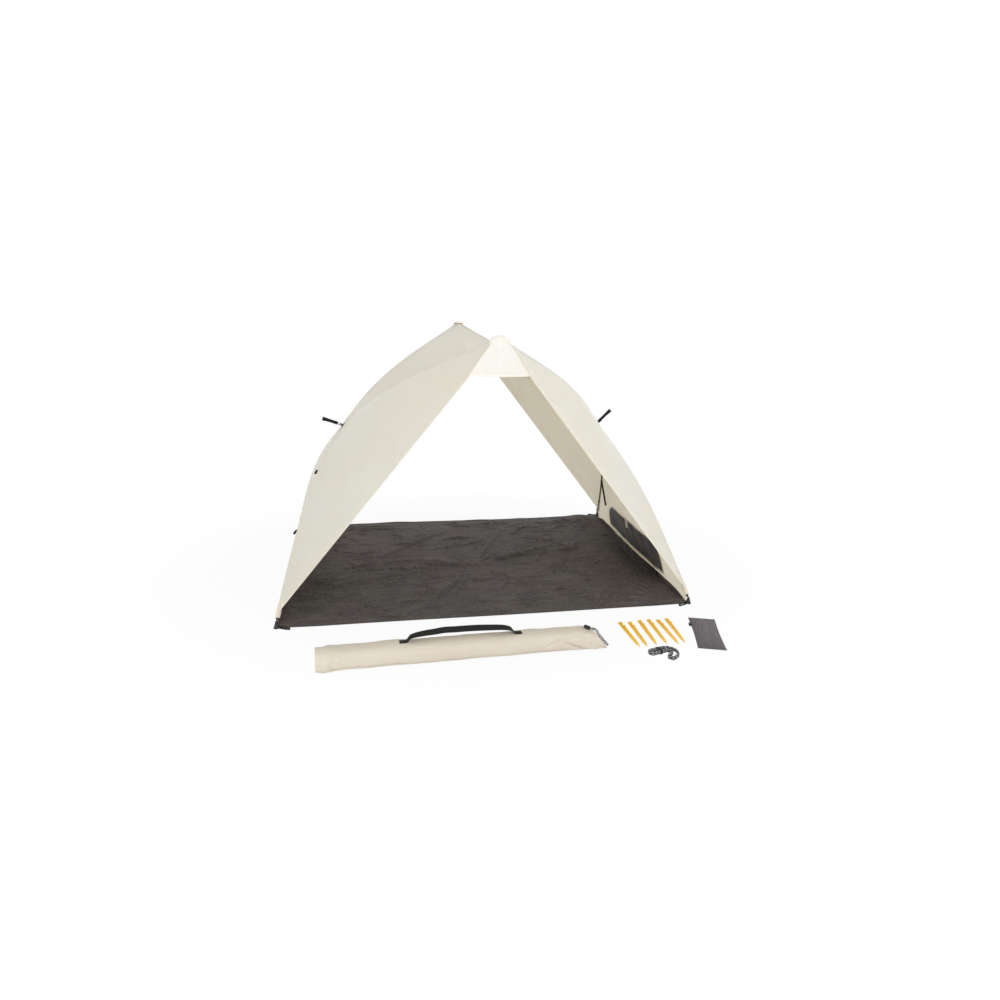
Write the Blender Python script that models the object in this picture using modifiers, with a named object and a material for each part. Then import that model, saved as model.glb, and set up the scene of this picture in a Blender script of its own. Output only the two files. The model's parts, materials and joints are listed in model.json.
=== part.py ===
"""Pop-up sun shelter: two folding side hubs, eight rods, a saddle canopy, and its bag, pegs and guy line.

Units are metres and +Z is up. The origin is the middle of the groundsheet, on the ground.
+X is to the right of someone who looks in at the front, and +Y runs to the rear.
"""
import math

import bmesh
import bpy
from mathutils import Matrix, Vector

# Driving dimensions of the pitched frame
WIDTH = 2.200
DEPTH = 1.575
RIDGE_HEIGHT = 1.428
RIDGE_LENGTH = 1.510
HUB_X = 0.757
HUB_HEIGHT = 0.862

# Fits
GAP = 0.0003
SLOT_GAP = 0.0004

# Rods and the moulded ends on them
ROD_RADIUS = 0.0045
SLEEVE_RADIUS = 0.0075
SLEEVE_LENGTH = 0.030
SLEEVE_START = 0.0165
BORE_DEPTH = 0.026
EYE_RADIUS = 0.0055
TANG_THICKNESS = 0.009
PIN_RADIUS = 0.0025
ROD_POINTS = 13
TIP_SLOPE = 0.5

# Hubs
HUB_RADIUS = 0.044
HUB_PIN_RADIUS = 0.030
HUB_TOP = 0.0065
HUB_BOTTOM = 0.013
HUB_CHAMFER = 0.004
HUB_PIN_LENGTH = 0.022
STUD_RADIUS = 0.004

# Peak connectors, measured from the top of the cloth
PEAK_PIN_X = 0.013
PEAK_PIN_BACK = 0.026
PEAK_PIN_DROP = 0.023
PEAK_PLATE = 0.0028
PEAK_MARGIN = 0.006
PEAK_WEB = 0.004
PEAK_PIN_TILT = math.radians(21.9)

# Feet and their webbing
PIVOT_HEIGHT = 0.030
BALL_RADIUS = 0.008
NECK_RADIUS = 0.0045
FOOT_RADIUS = 0.016
FOOT_RIM = 0.0055
FOOT_RIM_WIDTH = 0.0026
LOOP_THICKNESS = 0.002
LOOP_LENGTH = 0.066
LOOP_WIDTH = 0.020
LOOP_BAND = 0.005
LOOP_SEAT = 0.008
LOOP_TURN = math.radians(66)

# Cloth
CLOTH = 0.001
SHEET = 0.0015
SEAM_GAP = 0.0003
CLOTH_OFFSET = SLEEVE_RADIUS + 0.0012
PEAK_OFFSET = 0.017
PEAK_BLEND = 0.12
CLOTH_START = 0.0078
SADDLE_DIP = 0.200
PANEL_SAG = 0.014
WALL_SAG = 0.020
FOOT_CLEAR = 0.058
HOOD_HEIGHT = 0.183
HOOD_TOP = 0.018
HOOD_BULGE = 0.030
WINDOW_HALF = 0.460
WINDOW_LOW = 0.048
WINDOW_HIGH = 0.205
WINDOW_CORNER = 0.130
WINDOW_GAP = 0.0004
POCKET_LENGTH = 0.640
POCKET_HEIGHT = 0.115
POCKET_DEPTH = 0.060
POCKET_Y = -0.090
POCKET_BACK = WIDTH / 2 - 0.022
WALL_LEAN = 0.40
SHEET_INSET = 0.004

# Pull straps on the hubs
STRAP_WIDTH = 0.020
STRAP_THICKNESS = 0.0018
STRAP_LENGTH = 0.112
STRAP_SWELL = 0.0065
STRAP_DROOP = 0.012
FLANGE_RADIUS = 0.0165
FLANGE = 0.0018
BAR_RADIUS = 0.002
BAR_HEIGHT = 0.007
EAR = 0.0025

# Carry bag, lying in front
BAG_LENGTH = 1.368
BAG_WIDTH = 0.122
BAG_HEIGHT = 0.100
BAG_CENTRE = Vector((-0.205, -1.197, 0.0))
BAG_TURN = math.radians(1.6)
BAG_SLANT = 0.85
HANDLE_SPAN = 0.500
HANDLE_FOOT = 0.036
HANDLE_RISE = 0.042
HANDLE_WIDTH = 0.030
HANDLE_THICKNESS = 0.003
HANDLE_X = -0.232
LOCK_RADIUS = 0.009
LOCK_SHARE = 0.972
LOCK_LENGTH = 0.034
LOCK_TURN = math.radians(-55)
POUCH_LOCK_LENGTH = 0.021

# Pegs, lying in front
PEG_LENGTH = 0.264
PEG_WIDTH = 0.022
PEG_THICKNESS = 0.004
PEG_RIB = 0.012
# Where each head lies, and the peg's turn from straight ahead in degrees
PEG_PLACES = ((0.630, -0.972, 1.0), (0.682, -0.976, -2.0), (0.740, -0.966, -3.0),
              (0.792, -0.962, -2.5), (0.840, -0.972, -0.5), (0.892, -0.964, -4.0))

# Guy line, put up as a hank
CORD_RADIUS = 0.002
CORD_PITCH = 0.0046
HANK_LAYERS = 4
HANK_TURNS_IN_LAYER = 2
HANK_INNER = 0.012
HANK_WAIST = 0.0035
HANK_RUN = 0.070
HANK_BEND = 0.032
HANK_BEND_ANGLE = math.radians(160)
HANK_TAIL = 0.020
HANK_HEADING = math.radians(15)
HANK_STEPS = 24
HANK_START = Vector((0.672, -1.302, 0.0))
TIE_WIDTH = 0.010
TIE_THICKNESS = 0.0012
TIE_PLACE = 0.55
HANK_LIFT = TIE_THICKNESS + 2 * GAP

# Peg pouch
POUCH_LENGTH = 0.335
POUCH_WIDTH = 0.138
POUCH_HEIGHT = 0.016
POUCH_CENTRE = Vector((1.034, -1.140, 0.0))
POUCH_TURN = math.radians(-17.5)
POUCH_LOCK_SHARE = 0.72

SIDES = {"left": -1, "right": 1}
ENDS = {"front": -1, "rear": 1}
UP = Vector((0.0, 0.0, 1.0))

# The folding train starts at one foot, and its loop is open at one pivot
TIP_JOINTED = (("front", "left", "lower"), ("front", "right", "upper"))
HUB_JOINT = {"left": TIP_JOINTED[0], "right": TIP_JOINTED[1]}
OPEN_PIVOT = ("rear", "right")


def clear_scene():
    """Remove every object that the file holds."""
    for item in list(bpy.data.objects):
        bpy.data.objects.remove(item, do_unlink=True)


def new_collection(name):
    """Make a collection in the scene."""
    group = bpy.data.collections.new(name)
    bpy.context.scene.collection.children.link(group)
    return group


clear_scene()
PARTS = new_collection("pop_up_sun_shelter")
CUTTERS = new_collection("cutters")


def material(name, colour, roughness, metallic=0.0):
    """A Principled material of one colour."""
    made = bpy.data.materials.new(name)
    made.use_nodes = True
    shader = made.node_tree.nodes["Principled BSDF"]
    shader.inputs["Base Color"].default_value = (*colour, 1.0)
    shader.inputs["Roughness"].default_value = roughness
    shader.inputs["Metallic"].default_value = metallic
    return made


CANOPY_CLOTH = material("canopy_cloth", (0.76, 0.71, 0.62), 0.75)
HOOD_CLOTH = material("hood_cloth", (0.90, 0.88, 0.82), 0.7)
SHEET_CLOTH = material("groundsheet_cloth", (0.085, 0.075, 0.070), 0.55)
MESH_CLOTH = material("window_mesh", (0.020, 0.018, 0.015), 0.8)
FIBREGLASS = material("black_fibreglass", (0.012, 0.012, 0.012), 0.35)
MOULDING = material("black_moulding", (0.018, 0.018, 0.018), 0.5)
WEBBING = material("black_webbing", (0.022, 0.020, 0.019), 0.85)
BAG_CLOTH = material("bag_cloth", (0.72, 0.66, 0.58), 0.8)
PEG_PLASTIC = material("yellow_plastic", (0.93, 0.45, 0.03), 0.45)
GUY_CORD = material("guy_cord", (0.05, 0.05, 0.05), 0.8)
POUCH_CLOTH = material("pouch_cloth", (0.13, 0.115, 0.12), 0.8)


def add_object(name, data, coat, matrix=None, group=None):
    """Put a mesh or a curve in the scene as one named object."""
    item = bpy.data.objects.new(name, data)
    (group or PARTS).objects.link(item)
    if coat is not None:
        data.materials.clear()
        data.materials.append(coat)
    if matrix is not None:
        item.matrix_world = matrix
    return item


def take_mesh(item):
    """The object's mesh with its modifiers applied; the object itself is removed."""
    bpy.context.view_layer.update()
    seen = item.evaluated_get(bpy.context.evaluated_depsgraph_get())
    mesh = bpy.data.meshes.new_from_object(seen)
    old = item.data
    bpy.data.objects.remove(item, do_unlink=True)
    if old.users == 0 and isinstance(old, bpy.types.Mesh):
        bpy.data.meshes.remove(old)
    return mesh


def basis(x_axis, z_axis, origin=Vector()):
    """A frame with its X and Z along two square directions."""
    x_axis = x_axis.normalized()
    z_axis = z_axis.normalized()
    turn = Matrix((x_axis, z_axis.cross(x_axis), z_axis)).transposed()
    return Matrix.Translation(origin) @ turn.to_4x4()


def box_mesh(size, centre=Vector(), name="box"):
    """A box of the given size."""
    shape = bmesh.new()
    bmesh.ops.create_cube(shape, size=1.0)
    bmesh.ops.scale(shape, vec=Vector(size), verts=shape.verts)
    bmesh.ops.translate(shape, vec=Vector(centre), verts=shape.verts)
    mesh = bpy.data.meshes.new(name)
    shape.to_mesh(mesh)
    shape.free()
    return mesh


def cylinder_mesh(radius, length, segments=16, matrix=Matrix(), name="cylinder"):
    """A cylinder about the matrix's Z, centred on its origin."""
    shape = bmesh.new()
    bmesh.ops.create_cone(shape, cap_ends=True, segments=segments, radius1=radius,
                          radius2=radius, depth=length, matrix=matrix)
    mesh = bpy.data.meshes.new(name)
    shape.to_mesh(mesh)
    shape.free()
    return mesh


def turned_mesh(profile, segments, name="turned"):
    """A profile of (radius, height) points, listed top to bottom down its outer side, turned about Z."""
    mesh = bpy.data.meshes.new(name)
    mesh.from_pydata([(r, 0.0, z) for r, z in profile], [(i, i + 1) for i in range(len(profile) - 1)], [])
    item = add_object(name, mesh, None, group=CUTTERS)
    screw = item.modifiers.new("turn", "SCREW")
    screw.steps = segments
    screw.render_steps = segments
    screw.use_merge_vertices = True
    screw.merge_threshold = 0.00001
    return take_mesh(item)


def combine(base, unions=(), cuts=(), name="solid"):
    """Join meshes to a base mesh and cut others from it, with exact Booleans."""
    item = add_object(name, base, None, group=CUTTERS)
    tools = []
    for mesh, operation in [(m, "UNION") for m in unions] + [(m, "DIFFERENCE") for m in cuts]:
        tool = add_object(name + "_tool", mesh, None, group=CUTTERS)
        tools.append(tool)
        step = item.modifiers.new(operation.lower(), "BOOLEAN")
        step.operation = operation
        step.solver = "EXACT"
        step.object = tool
    result = take_mesh(item)
    for tool in tools:
        bpy.data.objects.remove(tool, do_unlink=True)
    return result


def smooth(item, angle=35):
    """Shade round faces smooth and keep sharp edges."""
    item.data.shade_smooth()
    item.data.set_sharp_from_angle(angle=math.radians(angle))
    return item


def lofted(rings, name, closed=True):
    """A closed solid through rings of equally many points, with a cap on each end."""
    shape = bmesh.new()
    made = [[shape.verts.new(p) for p in ring] for ring in rings]
    count = len(made[0])
    for low, high in zip(made, made[1:]):
        for i in range(count):
            j = (i + 1) % count
            shape.faces.new((low[i], low[j], high[j], high[i]))
    if closed:
        shape.faces.new(list(reversed(made[0])))
        shape.faces.new(made[-1])
    bmesh.ops.recalc_face_normals(shape, faces=shape.faces)
    mesh = bpy.data.meshes.new(name)
    shape.to_mesh(mesh)
    shape.free()
    return mesh


def tube(name, points, radius, coat, sides=2, group=None):
    """A round bar along points, with closed ends. sides is the curve's bevel resolution."""
    curve = bpy.data.curves.new(name, "CURVE")
    curve.dimensions = "3D"
    curve.bevel_depth = radius
    curve.bevel_resolution = sides
    curve.use_fill_caps = True
    line = curve.splines.new("POLY")
    line.points.add(len(points) - 1)
    for place, point in zip(line.points, points):
        place.co = (*point, 1.0)
    return add_object(name, curve, coat, group=group)


def flat_shape(name, outlines, thickness, coat, matrix, group=None):
    """A flat plate from closed outlines, the first one outside and the others holes."""
    curve = bpy.data.curves.new(name, "CURVE")
    curve.dimensions = "2D"
    curve.fill_mode = "BOTH"
    curve.extrude = thickness / 2
    for outline in outlines:
        line = curve.splines.new("POLY")
        line.points.add(len(outline) - 1)
        line.use_cyclic_u = True
        for place, (x, y) in zip(line.points, outline):
            place.co = (x, y, 0.0, 1.0)
    return add_object(name, curve, coat, matrix, group)


def arc(centre, radius, start, end, steps):
    """Points of an arc in a plane, with both ends."""
    turns = [start + (end - start) * i / steps for i in range(steps + 1)]
    return [(centre[0] + radius * math.cos(a), centre[1] + radius * math.sin(a)) for a in turns]


class Hub:
    """A folding hub, with its place, its outward normal and its in-plane up direction."""

    def __init__(self, side):
        self.side = side
        self.sign = SIDES[side]
        self.centre = Vector((self.sign * HUB_X, 0.0, HUB_HEIGHT))
        ridge = Vector((0.0, 0.0, RIDGE_HEIGHT))
        foot = Vector((self.sign * WIDTH / 2, 0.0, 0.0))
        self.up = (ridge - foot).normalized()
        self.normal = Vector((self.sign * self.up.z, 0.0, abs(self.up.x)))
        self.matrix = basis(self.up, self.normal, self.centre)


class Rod:
    """One rod, from its pin in the hub to its tip, bowed outwards by the tight cloth."""

    def __init__(self, hub, end, level):
        self.hub = hub
        self.end = end
        self.level = level
        self.name = f"{end}_{hub.side}_{level}_rod"
        along = ENDS[end]
        if level == "upper":
            self.tip = Vector((hub.sign * PEAK_PIN_X, along * (RIDGE_LENGTH / 2 - PEAK_PIN_BACK),
                               RIDGE_HEIGHT - PEAK_PIN_DROP))
        else:
            self.tip = Vector((hub.sign * WIDTH / 2, along * DEPTH / 2, PIVOT_HEIGHT))
        reach = self.tip - hub.centre
        self.radial = (reach - reach.dot(hub.normal) * hub.normal).normalized()
        self.pin = hub.centre + HUB_PIN_RADIUS * self.radial
        self.pin_axis = self.radial.cross(hub.normal)
        chord = (self.tip - self.pin).normalized()
        self.tip_axis = peak_pin_axis(end) if level == "upper" else self.pin_axis
        spring = self.radial - self.radial.dot(chord) * chord
        self.arriving = (chord - TIP_SLOPE * spring).normalized()
        mouth = SLEEVE_START + SLEEVE_LENGTH
        self.near = self.pin + mouth * self.radial
        self.far = self.tip - mouth * self.arriving
        self.span = (self.far - self.near).length
        self.length = self.span + 2 * mouth
        self.mouth = mouth

    def joint_point(self):
        """Where the rod turns on the piece before it in the folding train."""
        return self.tip if (self.end, self.hub.side, self.level) in TIP_JOINTED else self.pin

    def curve(self, share):
        """A point of the bowed stretch between the two sleeves."""
        handle = self.span / 3
        a, d = self.near, self.far
        b = a + handle * self.radial
        c = d - handle * self.arriving
        rest = 1 - share
        return rest ** 3 * a + 3 * rest ** 2 * share * b + 3 * rest * share ** 2 * c + share ** 3 * d

    def at(self, distance):
        """A point of the rod's middle line, by its distance from the hub pin."""
        if distance <= self.mouth:
            return self.pin + distance * self.radial
        if distance >= self.length - self.mouth:
            return self.tip - (self.length - distance) * self.arriving
        return self.curve((distance - self.mouth) / self.span)

    def seam(self, distance):
        """A point of the cloth's seam over the rod, by its distance from the hub's axis."""
        normal = self.hub.normal
        offset = CLOTH_OFFSET
        if distance <= HUB_PIN_RADIUS:
            return self.hub.centre + distance * self.radial + offset * normal
        place = distance - HUB_PIN_RADIUS
        ahead = (self.at(place + 0.004) - self.at(place)).normalized()
        outward = (normal - normal.dot(ahead) * ahead).normalized()
        if self.level == "upper":
            near_peak = max(0.0, 1 - (self.length - place) / PEAK_BLEND)
            offset += (PEAK_OFFSET - CLOTH_OFFSET) * near_peak
        return self.at(place) + offset * outward


def peak_pin_axis(end):
    """The direction of the two pins of a peak connector, square to the rods that fold on it."""
    return Vector((0.0, -ENDS[end] * math.sin(PEAK_PIN_TILT), math.cos(PEAK_PIN_TILT)))


def peak_top(end):
    """The top of the cloth over a peak connector."""
    return Vector((0.0, ENDS[end] * RIDGE_LENGTH / 2, RIDGE_HEIGHT))


HUBS = {side: Hub(side) for side in SIDES}
RODS = {(end, side, level): Rod(HUBS[side], end, level)
        for side in SIDES for end in ENDS for level in ("upper", "lower")}


def eye_end_mesh(trunnion=0.0, bored=True, lean=0.0):
    """A moulded rod end: an eye with two trunnions on a tang, and a sleeve.

    X runs along the rod, Z along the pin.
    """
    along_x = Matrix.Rotation(math.radians(90), 4, "Y")
    tilt = Matrix.Rotation(lean, 4, "Y")
    sleeve_centre = SLEEVE_START + SLEEVE_LENGTH / 2
    sleeve = cylinder_mesh(SLEEVE_RADIUS, SLEEVE_LENGTH, 12,
                           tilt @ Matrix.Translation((sleeve_centre, 0, 0)) @ along_x)
    tang_length = SLEEVE_START + SLEEVE_LENGTH / 6
    joined = [box_mesh((tang_length, 2 * EYE_RADIUS, TANG_THICKNESS), (tang_length / 2, 0, 0)),
              cylinder_mesh(EYE_RADIUS, TANG_THICKNESS, 14)]
    if trunnion:
        joined.append(cylinder_mesh(PIN_RADIUS, trunnion, 12))
    bore_end = SLEEVE_START + SLEEVE_LENGTH
    bore = cylinder_mesh(ROD_RADIUS + GAP, 2 * BORE_DEPTH, 10, Matrix.Translation((bore_end, 0, 0)) @ along_x)
    return combine(sleeve, joined, [bore] if bored else [], "eye_end")


def ball_end_mesh():
    """A moulded rod tip: a ball that turns in the foot, a neck, and a sleeve. Z runs up the rod."""
    top = SLEEVE_START + SLEEVE_LENGTH
    neck_angle = math.asin(NECK_RADIUS / BALL_RADIUS)
    ball = [(BALL_RADIUS * math.sin(a), BALL_RADIUS * math.cos(a))
            for a in [neck_angle + (math.pi - neck_angle) * i / 7 for i in range(8)]]
    ball[-1] = (0.0, -BALL_RADIUS)
    profile = [(0.0, top), (SLEEVE_RADIUS, top),
               (SLEEVE_RADIUS, SLEEVE_START), (NECK_RADIUS, SLEEVE_START - 0.003)] + ball
    return turned_mesh(profile, 12, "ball_end")


def build_rods():
    """The eight rods. The tip fitting is moulded on; the eye end in the hub is a piece of its own."""
    hub_eye = eye_end_mesh(HUB_PIN_LENGTH)
    peak_trunnion = 2 * (TANG_THICKNESS / 2 + SLOT_GAP + PEAK_PLATE) - 2 * GAP
    ball = ball_end_mesh()
    seat = SLEEVE_START + SLEEVE_LENGTH - BORE_DEPTH + GAP
    for (end, side, level), rod in RODS.items():
        bowed = [rod.curve(i / (ROD_POINTS - 1)) for i in range(ROD_POINTS)]
        points = [rod.at(seat)] + bowed + [rod.at(rod.length - 0.6 * rod.mouth)]
        bar = welded_mesh(tube(rod.name + "_bar", points, ROD_RADIUS, None, group=CUTTERS))
        if level == "upper":
            trunnion = 0.0 if (end, side) == OPEN_PIVOT else peak_trunnion
            back = -rod.arriving
            rise = back.dot(rod.tip_axis)
            tip = eye_end_mesh(trunnion, False, -math.asin(rise))
            tip.transform(basis(back - rise * rod.tip_axis, rod.tip_axis, rod.tip))
        else:
            tip = ball.copy()
            tip.transform(basis(rod.tip_axis, -rod.arriving, rod.tip))
        solid = combine(bar, [tip], [], rod.name)
        origin = rod.joint_point()
        solid.transform(Matrix.Translation(-origin))
        smooth(add_object(rod.name, solid, FIBREGLASS, Matrix.Translation(origin)))
        eye = hub_eye.copy()
        eye.transform(basis(rod.radial, rod.pin_axis, rod.pin - origin))
        smooth(add_object(rod.name + "_hub_end", eye, MOULDING, Matrix.Translation(origin)))


def hub_mesh():
    """The hub body: a turned disc with four slots and the holes of their pins. Z is outwards."""
    disc = turned_mesh([(0.0, HUB_TOP), (HUB_RADIUS - HUB_CHAMFER / 2, HUB_TOP),
                        (HUB_RADIUS, HUB_TOP - HUB_CHAMFER / 2), (HUB_RADIUS, HUB_CHAMFER - HUB_BOTTOM),
                        (HUB_RADIUS - HUB_CHAMFER, -HUB_BOTTOM), (0.0, -HUB_BOTTOM)], 32, "hub_disc")
    hub = HUBS["right"]
    floor = -EYE_RADIUS - GAP
    slot_inner = HUB_PIN_RADIUS - EYE_RADIUS - 0.0025
    slot_length = HUB_RADIUS - slot_inner + 0.01
    cuts = [cylinder_mesh(STUD_RADIUS + GAP, 4 * HUB_BOTTOM, 14)]
    for end in ENDS:
        for level in ("upper", "lower"):
            radial = RODS[(end, "right", level)].radial
            local = Vector((radial.dot(hub.up), radial.dot(hub.normal.cross(hub.up)), 0.0))
            turn = basis(local, UP)
            slot = box_mesh((slot_length, TANG_THICKNESS + 2 * SLOT_GAP, HUB_TOP - floor + 0.01),
                            (slot_inner + slot_length / 2, 0.0, (HUB_TOP + floor + 0.01) / 2))
            slot.transform(turn)
            across = Matrix.Rotation(math.radians(90), 4, "X")
            hole = cylinder_mesh(PIN_RADIUS + GAP, HUB_PIN_LENGTH + 2 * GAP, 12,
                                 turn @ Matrix.Translation((HUB_PIN_RADIUS, 0, 0)) @ across)
            cuts += [slot, hole]
    return combine(disc, [], cuts, "hub_body")


def build_hubs():
    """Both hubs, each with its origin on the pin that it turns on."""
    body = hub_mesh()
    for side, hub in HUBS.items():
        shift = Matrix.Translation(hub.matrix.inverted() @ RODS[HUB_JOINT[side]].pin)
        mesh = body.copy()
        mesh.transform(shift.inverted())
        smooth(add_object(f"{side}_hub", mesh, MOULDING, hub.matrix @ shift))


def build_pull_straps():
    """The anchor on each hub, outside the cloth, and the webbing pull strap looped round its bar."""
    low = CLOTH_OFFSET + CLOTH + GAP
    bar_z = low + FLANGE + BAR_HEIGHT
    half = STRAP_WIDTH / 2 + 0.001
    shank_length = low + HUB_BOTTOM / 2
    flange = cylinder_mesh(FLANGE_RADIUS, FLANGE, 20, Matrix.Translation((0, 0, low + FLANGE / 2)))
    shank = cylinder_mesh(STUD_RADIUS, shank_length, 12,
                          Matrix.Translation((0, 0, low + FLANGE / 2 - shank_length / 2)))
    bar = cylinder_mesh(BAR_RADIUS, 2 * half + 2 * EAR * 0.6, 12,
                        Matrix.Translation((0, 0, bar_z)) @ Matrix.Rotation(math.radians(90), 4, "X"))
    ears = []
    for sign in (-1, 1):
        tall = BAR_HEIGHT + BAR_RADIUS + 0.001
        ears.append(box_mesh((2.4 * BAR_RADIUS + 0.002, EAR, tall),
                             (0, sign * (half + EAR / 2), low + FLANGE * 0.7 + tall / 2)))
    anchor = combine(flange, [shank, bar] + ears, [], "strap_anchor")
    inner = BAR_RADIUS + GAP + 0.0002
    outer = inner + STRAP_THICKNESS
    for side, hub in HUBS.items():
        smooth(add_object(f"{side}_strap_anchor", anchor.copy(), MOULDING, hub.matrix))
        rings = [strap_outline(outer, STRAP_THICKNESS), strap_outline(inner, 0.0)]
        out = Vector((hub.sign * 0.94, 0.0, 0.34)) if side == "left" else Vector((hub.sign * 0.70, 0.0, 0.71))
        out.normalize()
        across = Vector((0.0, 1.0, 0.0))
        place = basis(out, across, hub.matrix @ Vector((0, 0, bar_z)))
        flat_shape(f"{side}_pull_strap", rings, STRAP_WIDTH, WEBBING, place)


def strap_outline(radius, grow):
    """Half-round about the bar, a swelling teardrop, and a round tip that droops a little."""
    tip = STRAP_LENGTH + grow
    stations = 7
    upper = []
    for i in range(1, stations):
        share = i / stations
        swell = radius + (STRAP_SWELL - radius + grow) * math.sin(math.pi * share) ** 0.6
        upper.append((tip * share, swell))
    start = arc((0.0, 0.0), radius, math.radians(270), math.radians(90), 8)
    cap = arc((tip - radius, 0.0), radius, math.radians(90), math.radians(-90), 6)
    outline = start + upper + cap + [(x, -y) for x, y in reversed(upper)]
    return [(x, y + STRAP_DROOP * (x / tip) ** 2 * (1 - 1.6 * x / tip)) if x > 0 else (x, y)
            for x, y in outline]


def build_peaks():
    """The two connectors at the peaks, where the trunnions of each pair of upper rods turn."""
    half_plate = TANG_THICKNESS / 2 + SLOT_GAP
    width = 2 * (PEAK_PIN_X + PEAK_MARGIN)
    back = EYE_RADIUS + 0.001 + PEAK_WEB
    depth = back + PEAK_MARGIN
    front = arc((PEAK_PIN_X, 0.0), PEAK_MARGIN, 0.0, math.pi / 2, 5) + \
        arc((-PEAK_PIN_X, 0.0), PEAK_MARGIN, math.pi / 2, math.pi, 5)
    outline = front + [(PEAK_MARGIN / 2 - PEAK_PIN_X, -back), (PEAK_PIN_X - PEAK_MARGIN / 2, -back)]
    thick = 2 * (half_plate + PEAK_PLATE)
    block = welded_mesh(flat_shape("peak_block", [outline], thick, None, Matrix(), CUTTERS))
    slot = box_mesh((2 * width, depth, 2 * half_plate), (0, depth / 2 - EYE_RADIUS - 0.001, 0))
    holes = [cylinder_mesh(PIN_RADIUS + GAP, 6 * half_plate, 12, Matrix.Translation((s * PEAK_PIN_X, 0, 0)))
             for s in (-1, 1)]
    body = combine(block, [], [slot] + holes, "peak_body")
    for end, along in ENDS.items():
        axis = peak_pin_axis(end)
        centre = Vector((0.0, along * (RIDGE_LENGTH / 2 - PEAK_PIN_BACK), RIDGE_HEIGHT - PEAK_PIN_DROP))
        place = basis(Vector((-along, 0.0, 0.0)), axis, centre)
        pivot = Matrix.Translation(place.inverted() @ RODS[(end, "left", "upper")].tip)
        mesh = body.copy()
        mesh.transform(pivot.inverted())
        smooth(add_object(f"{end}_peak_connector", mesh, MOULDING, place @ pivot))


def foot_mesh():
    """A foot: a turned pad with a dish for the rod's ball and a slot for the webbing.

    The origin is the ball's centre.
    """
    dish = BALL_RADIUS + GAP
    rim_angle = math.acos(FOOT_RIM / dish)
    bowl = [(dish * math.sin(a), -dish * math.cos(a)) for a in [rim_angle * i / 4 for i in range(5)]]
    rim = bowl[-1][0] + FOOT_RIM_WIDTH
    profile = bowl + [(rim, -FOOT_RIM), (rim + 0.002, -FOOT_RIM - 0.006),
                      (FOOT_RADIUS - 0.003, -PIVOT_HEIGHT + 0.008), (FOOT_RADIUS, -PIVOT_HEIGHT + 0.0055),
                      (FOOT_RADIUS, -PIVOT_HEIGHT), (0.0, -PIVOT_HEIGHT)]
    pad = turned_mesh(profile, 20, "foot_pad")
    high = LOOP_THICKNESS + 2 * GAP
    slot = box_mesh((2 * FOOT_RADIUS, LOOP_WIDTH + 4 * GAP, 2 * high),
                    (FOOT_RADIUS - LOOP_SEAT + FOOT_RADIUS, 0.0, -PIVOT_HEIGHT))
    return combine(pad, [], [slot], "foot_body")


def build_feet():
    """The four feet, and the webbing stake loop that each one grips."""
    pad = foot_mesh()
    straight = LOOP_LENGTH - LOOP_WIDTH
    outer = arc((0, 0), LOOP_WIDTH / 2, math.pi / 2, 3 * math.pi / 2, 10) + \
        arc((straight, 0), LOOP_WIDTH / 2, -math.pi / 2, math.pi / 2, 10)
    hole = LOOP_WIDTH / 2 - LOOP_BAND
    inner = arc((0, 0), hole, math.pi / 2, 3 * math.pi / 2, 8) + \
        arc((straight, 0), hole, -math.pi / 2, math.pi / 2, 8)
    for (end, side, level), rod in RODS.items():
        if level == "upper":
            continue
        out = Vector((-rod.hub.sign * math.sin(LOOP_TURN), ENDS[end] * math.cos(LOOP_TURN), 0.0))
        smooth(add_object(f"{end}_{side}_foot", pad.copy(), MOULDING, basis(out, UP, rod.tip)))
        start = FOOT_RADIUS - LOOP_SEAT + GAP + LOOP_WIDTH / 2
        base = Vector((rod.tip.x, rod.tip.y, GAP + LOOP_THICKNESS / 2)) + start * out
        flat_shape(f"{end}_{side}_stake_loop", [outer, inner], LOOP_THICKNESS, WEBBING, basis(out, UP, base))


def cloth_sheet(name, grid, coat, outward, thickness=CLOTH):
    """Cloth through a grid of points, with its thickness on the outward side."""
    mesh = bpy.data.meshes.new(name)
    rows, columns = len(grid), len(grid[0])
    faces = [(i * columns + j, i * columns + j + 1, (i + 1) * columns + j + 1, (i + 1) * columns + j)
             for i in range(rows - 1) for j in range(columns - 1)]
    mesh.from_pydata([p for row in grid for p in row], [], faces)
    middle = mesh.polygons[len(faces) // 2]
    if middle.normal.dot(outward) < 0:
        mesh.flip_normals()
    item = add_object(name, mesh, coat)
    wall = item.modifiers.new("cloth", "SOLIDIFY")
    wall.thickness = thickness
    wall.offset = 1.0
    return item


def between(first, second, count, gap=SEAM_GAP):
    """Points from one seam to another, stopping a small gap short of each."""
    reach = (second - first).length
    edge = min(0.3, gap / reach)
    return [first.lerp(second, edge + (1 - 2 * edge) * j / (count - 1)) for j in range(count)]


def seam_stations(rod, count, clear=0.0):
    """Distances along a seam from near the hub's axis to the tip, closer together near the hub."""
    total = HUB_PIN_RADIUS + rod.length - clear
    return [CLOTH_START + (total - CLOTH_START) * (i / (count - 1)) ** 1.35 for i in range(count)]


def panel_grid(first, second, rows, columns, sag, sag_way, clear_first=0.0, clear_second=0.0):
    """The cloth stretched between the seams of two rods of one hub."""
    grid = []
    ones = seam_stations(first, rows, clear_first)
    twos = seam_stations(second, rows, clear_second)
    for i, (a, b) in enumerate(zip(ones, twos)):
        share = i / (rows - 1)
        line = between(first.seam(a), second.seam(b), columns)
        for j, point in enumerate(line):
            across = j / (columns - 1)
            point += sag_way * (sag * 4 * across * (1 - across) * share ** 2)
        grid.append(line)
    return grid


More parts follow.
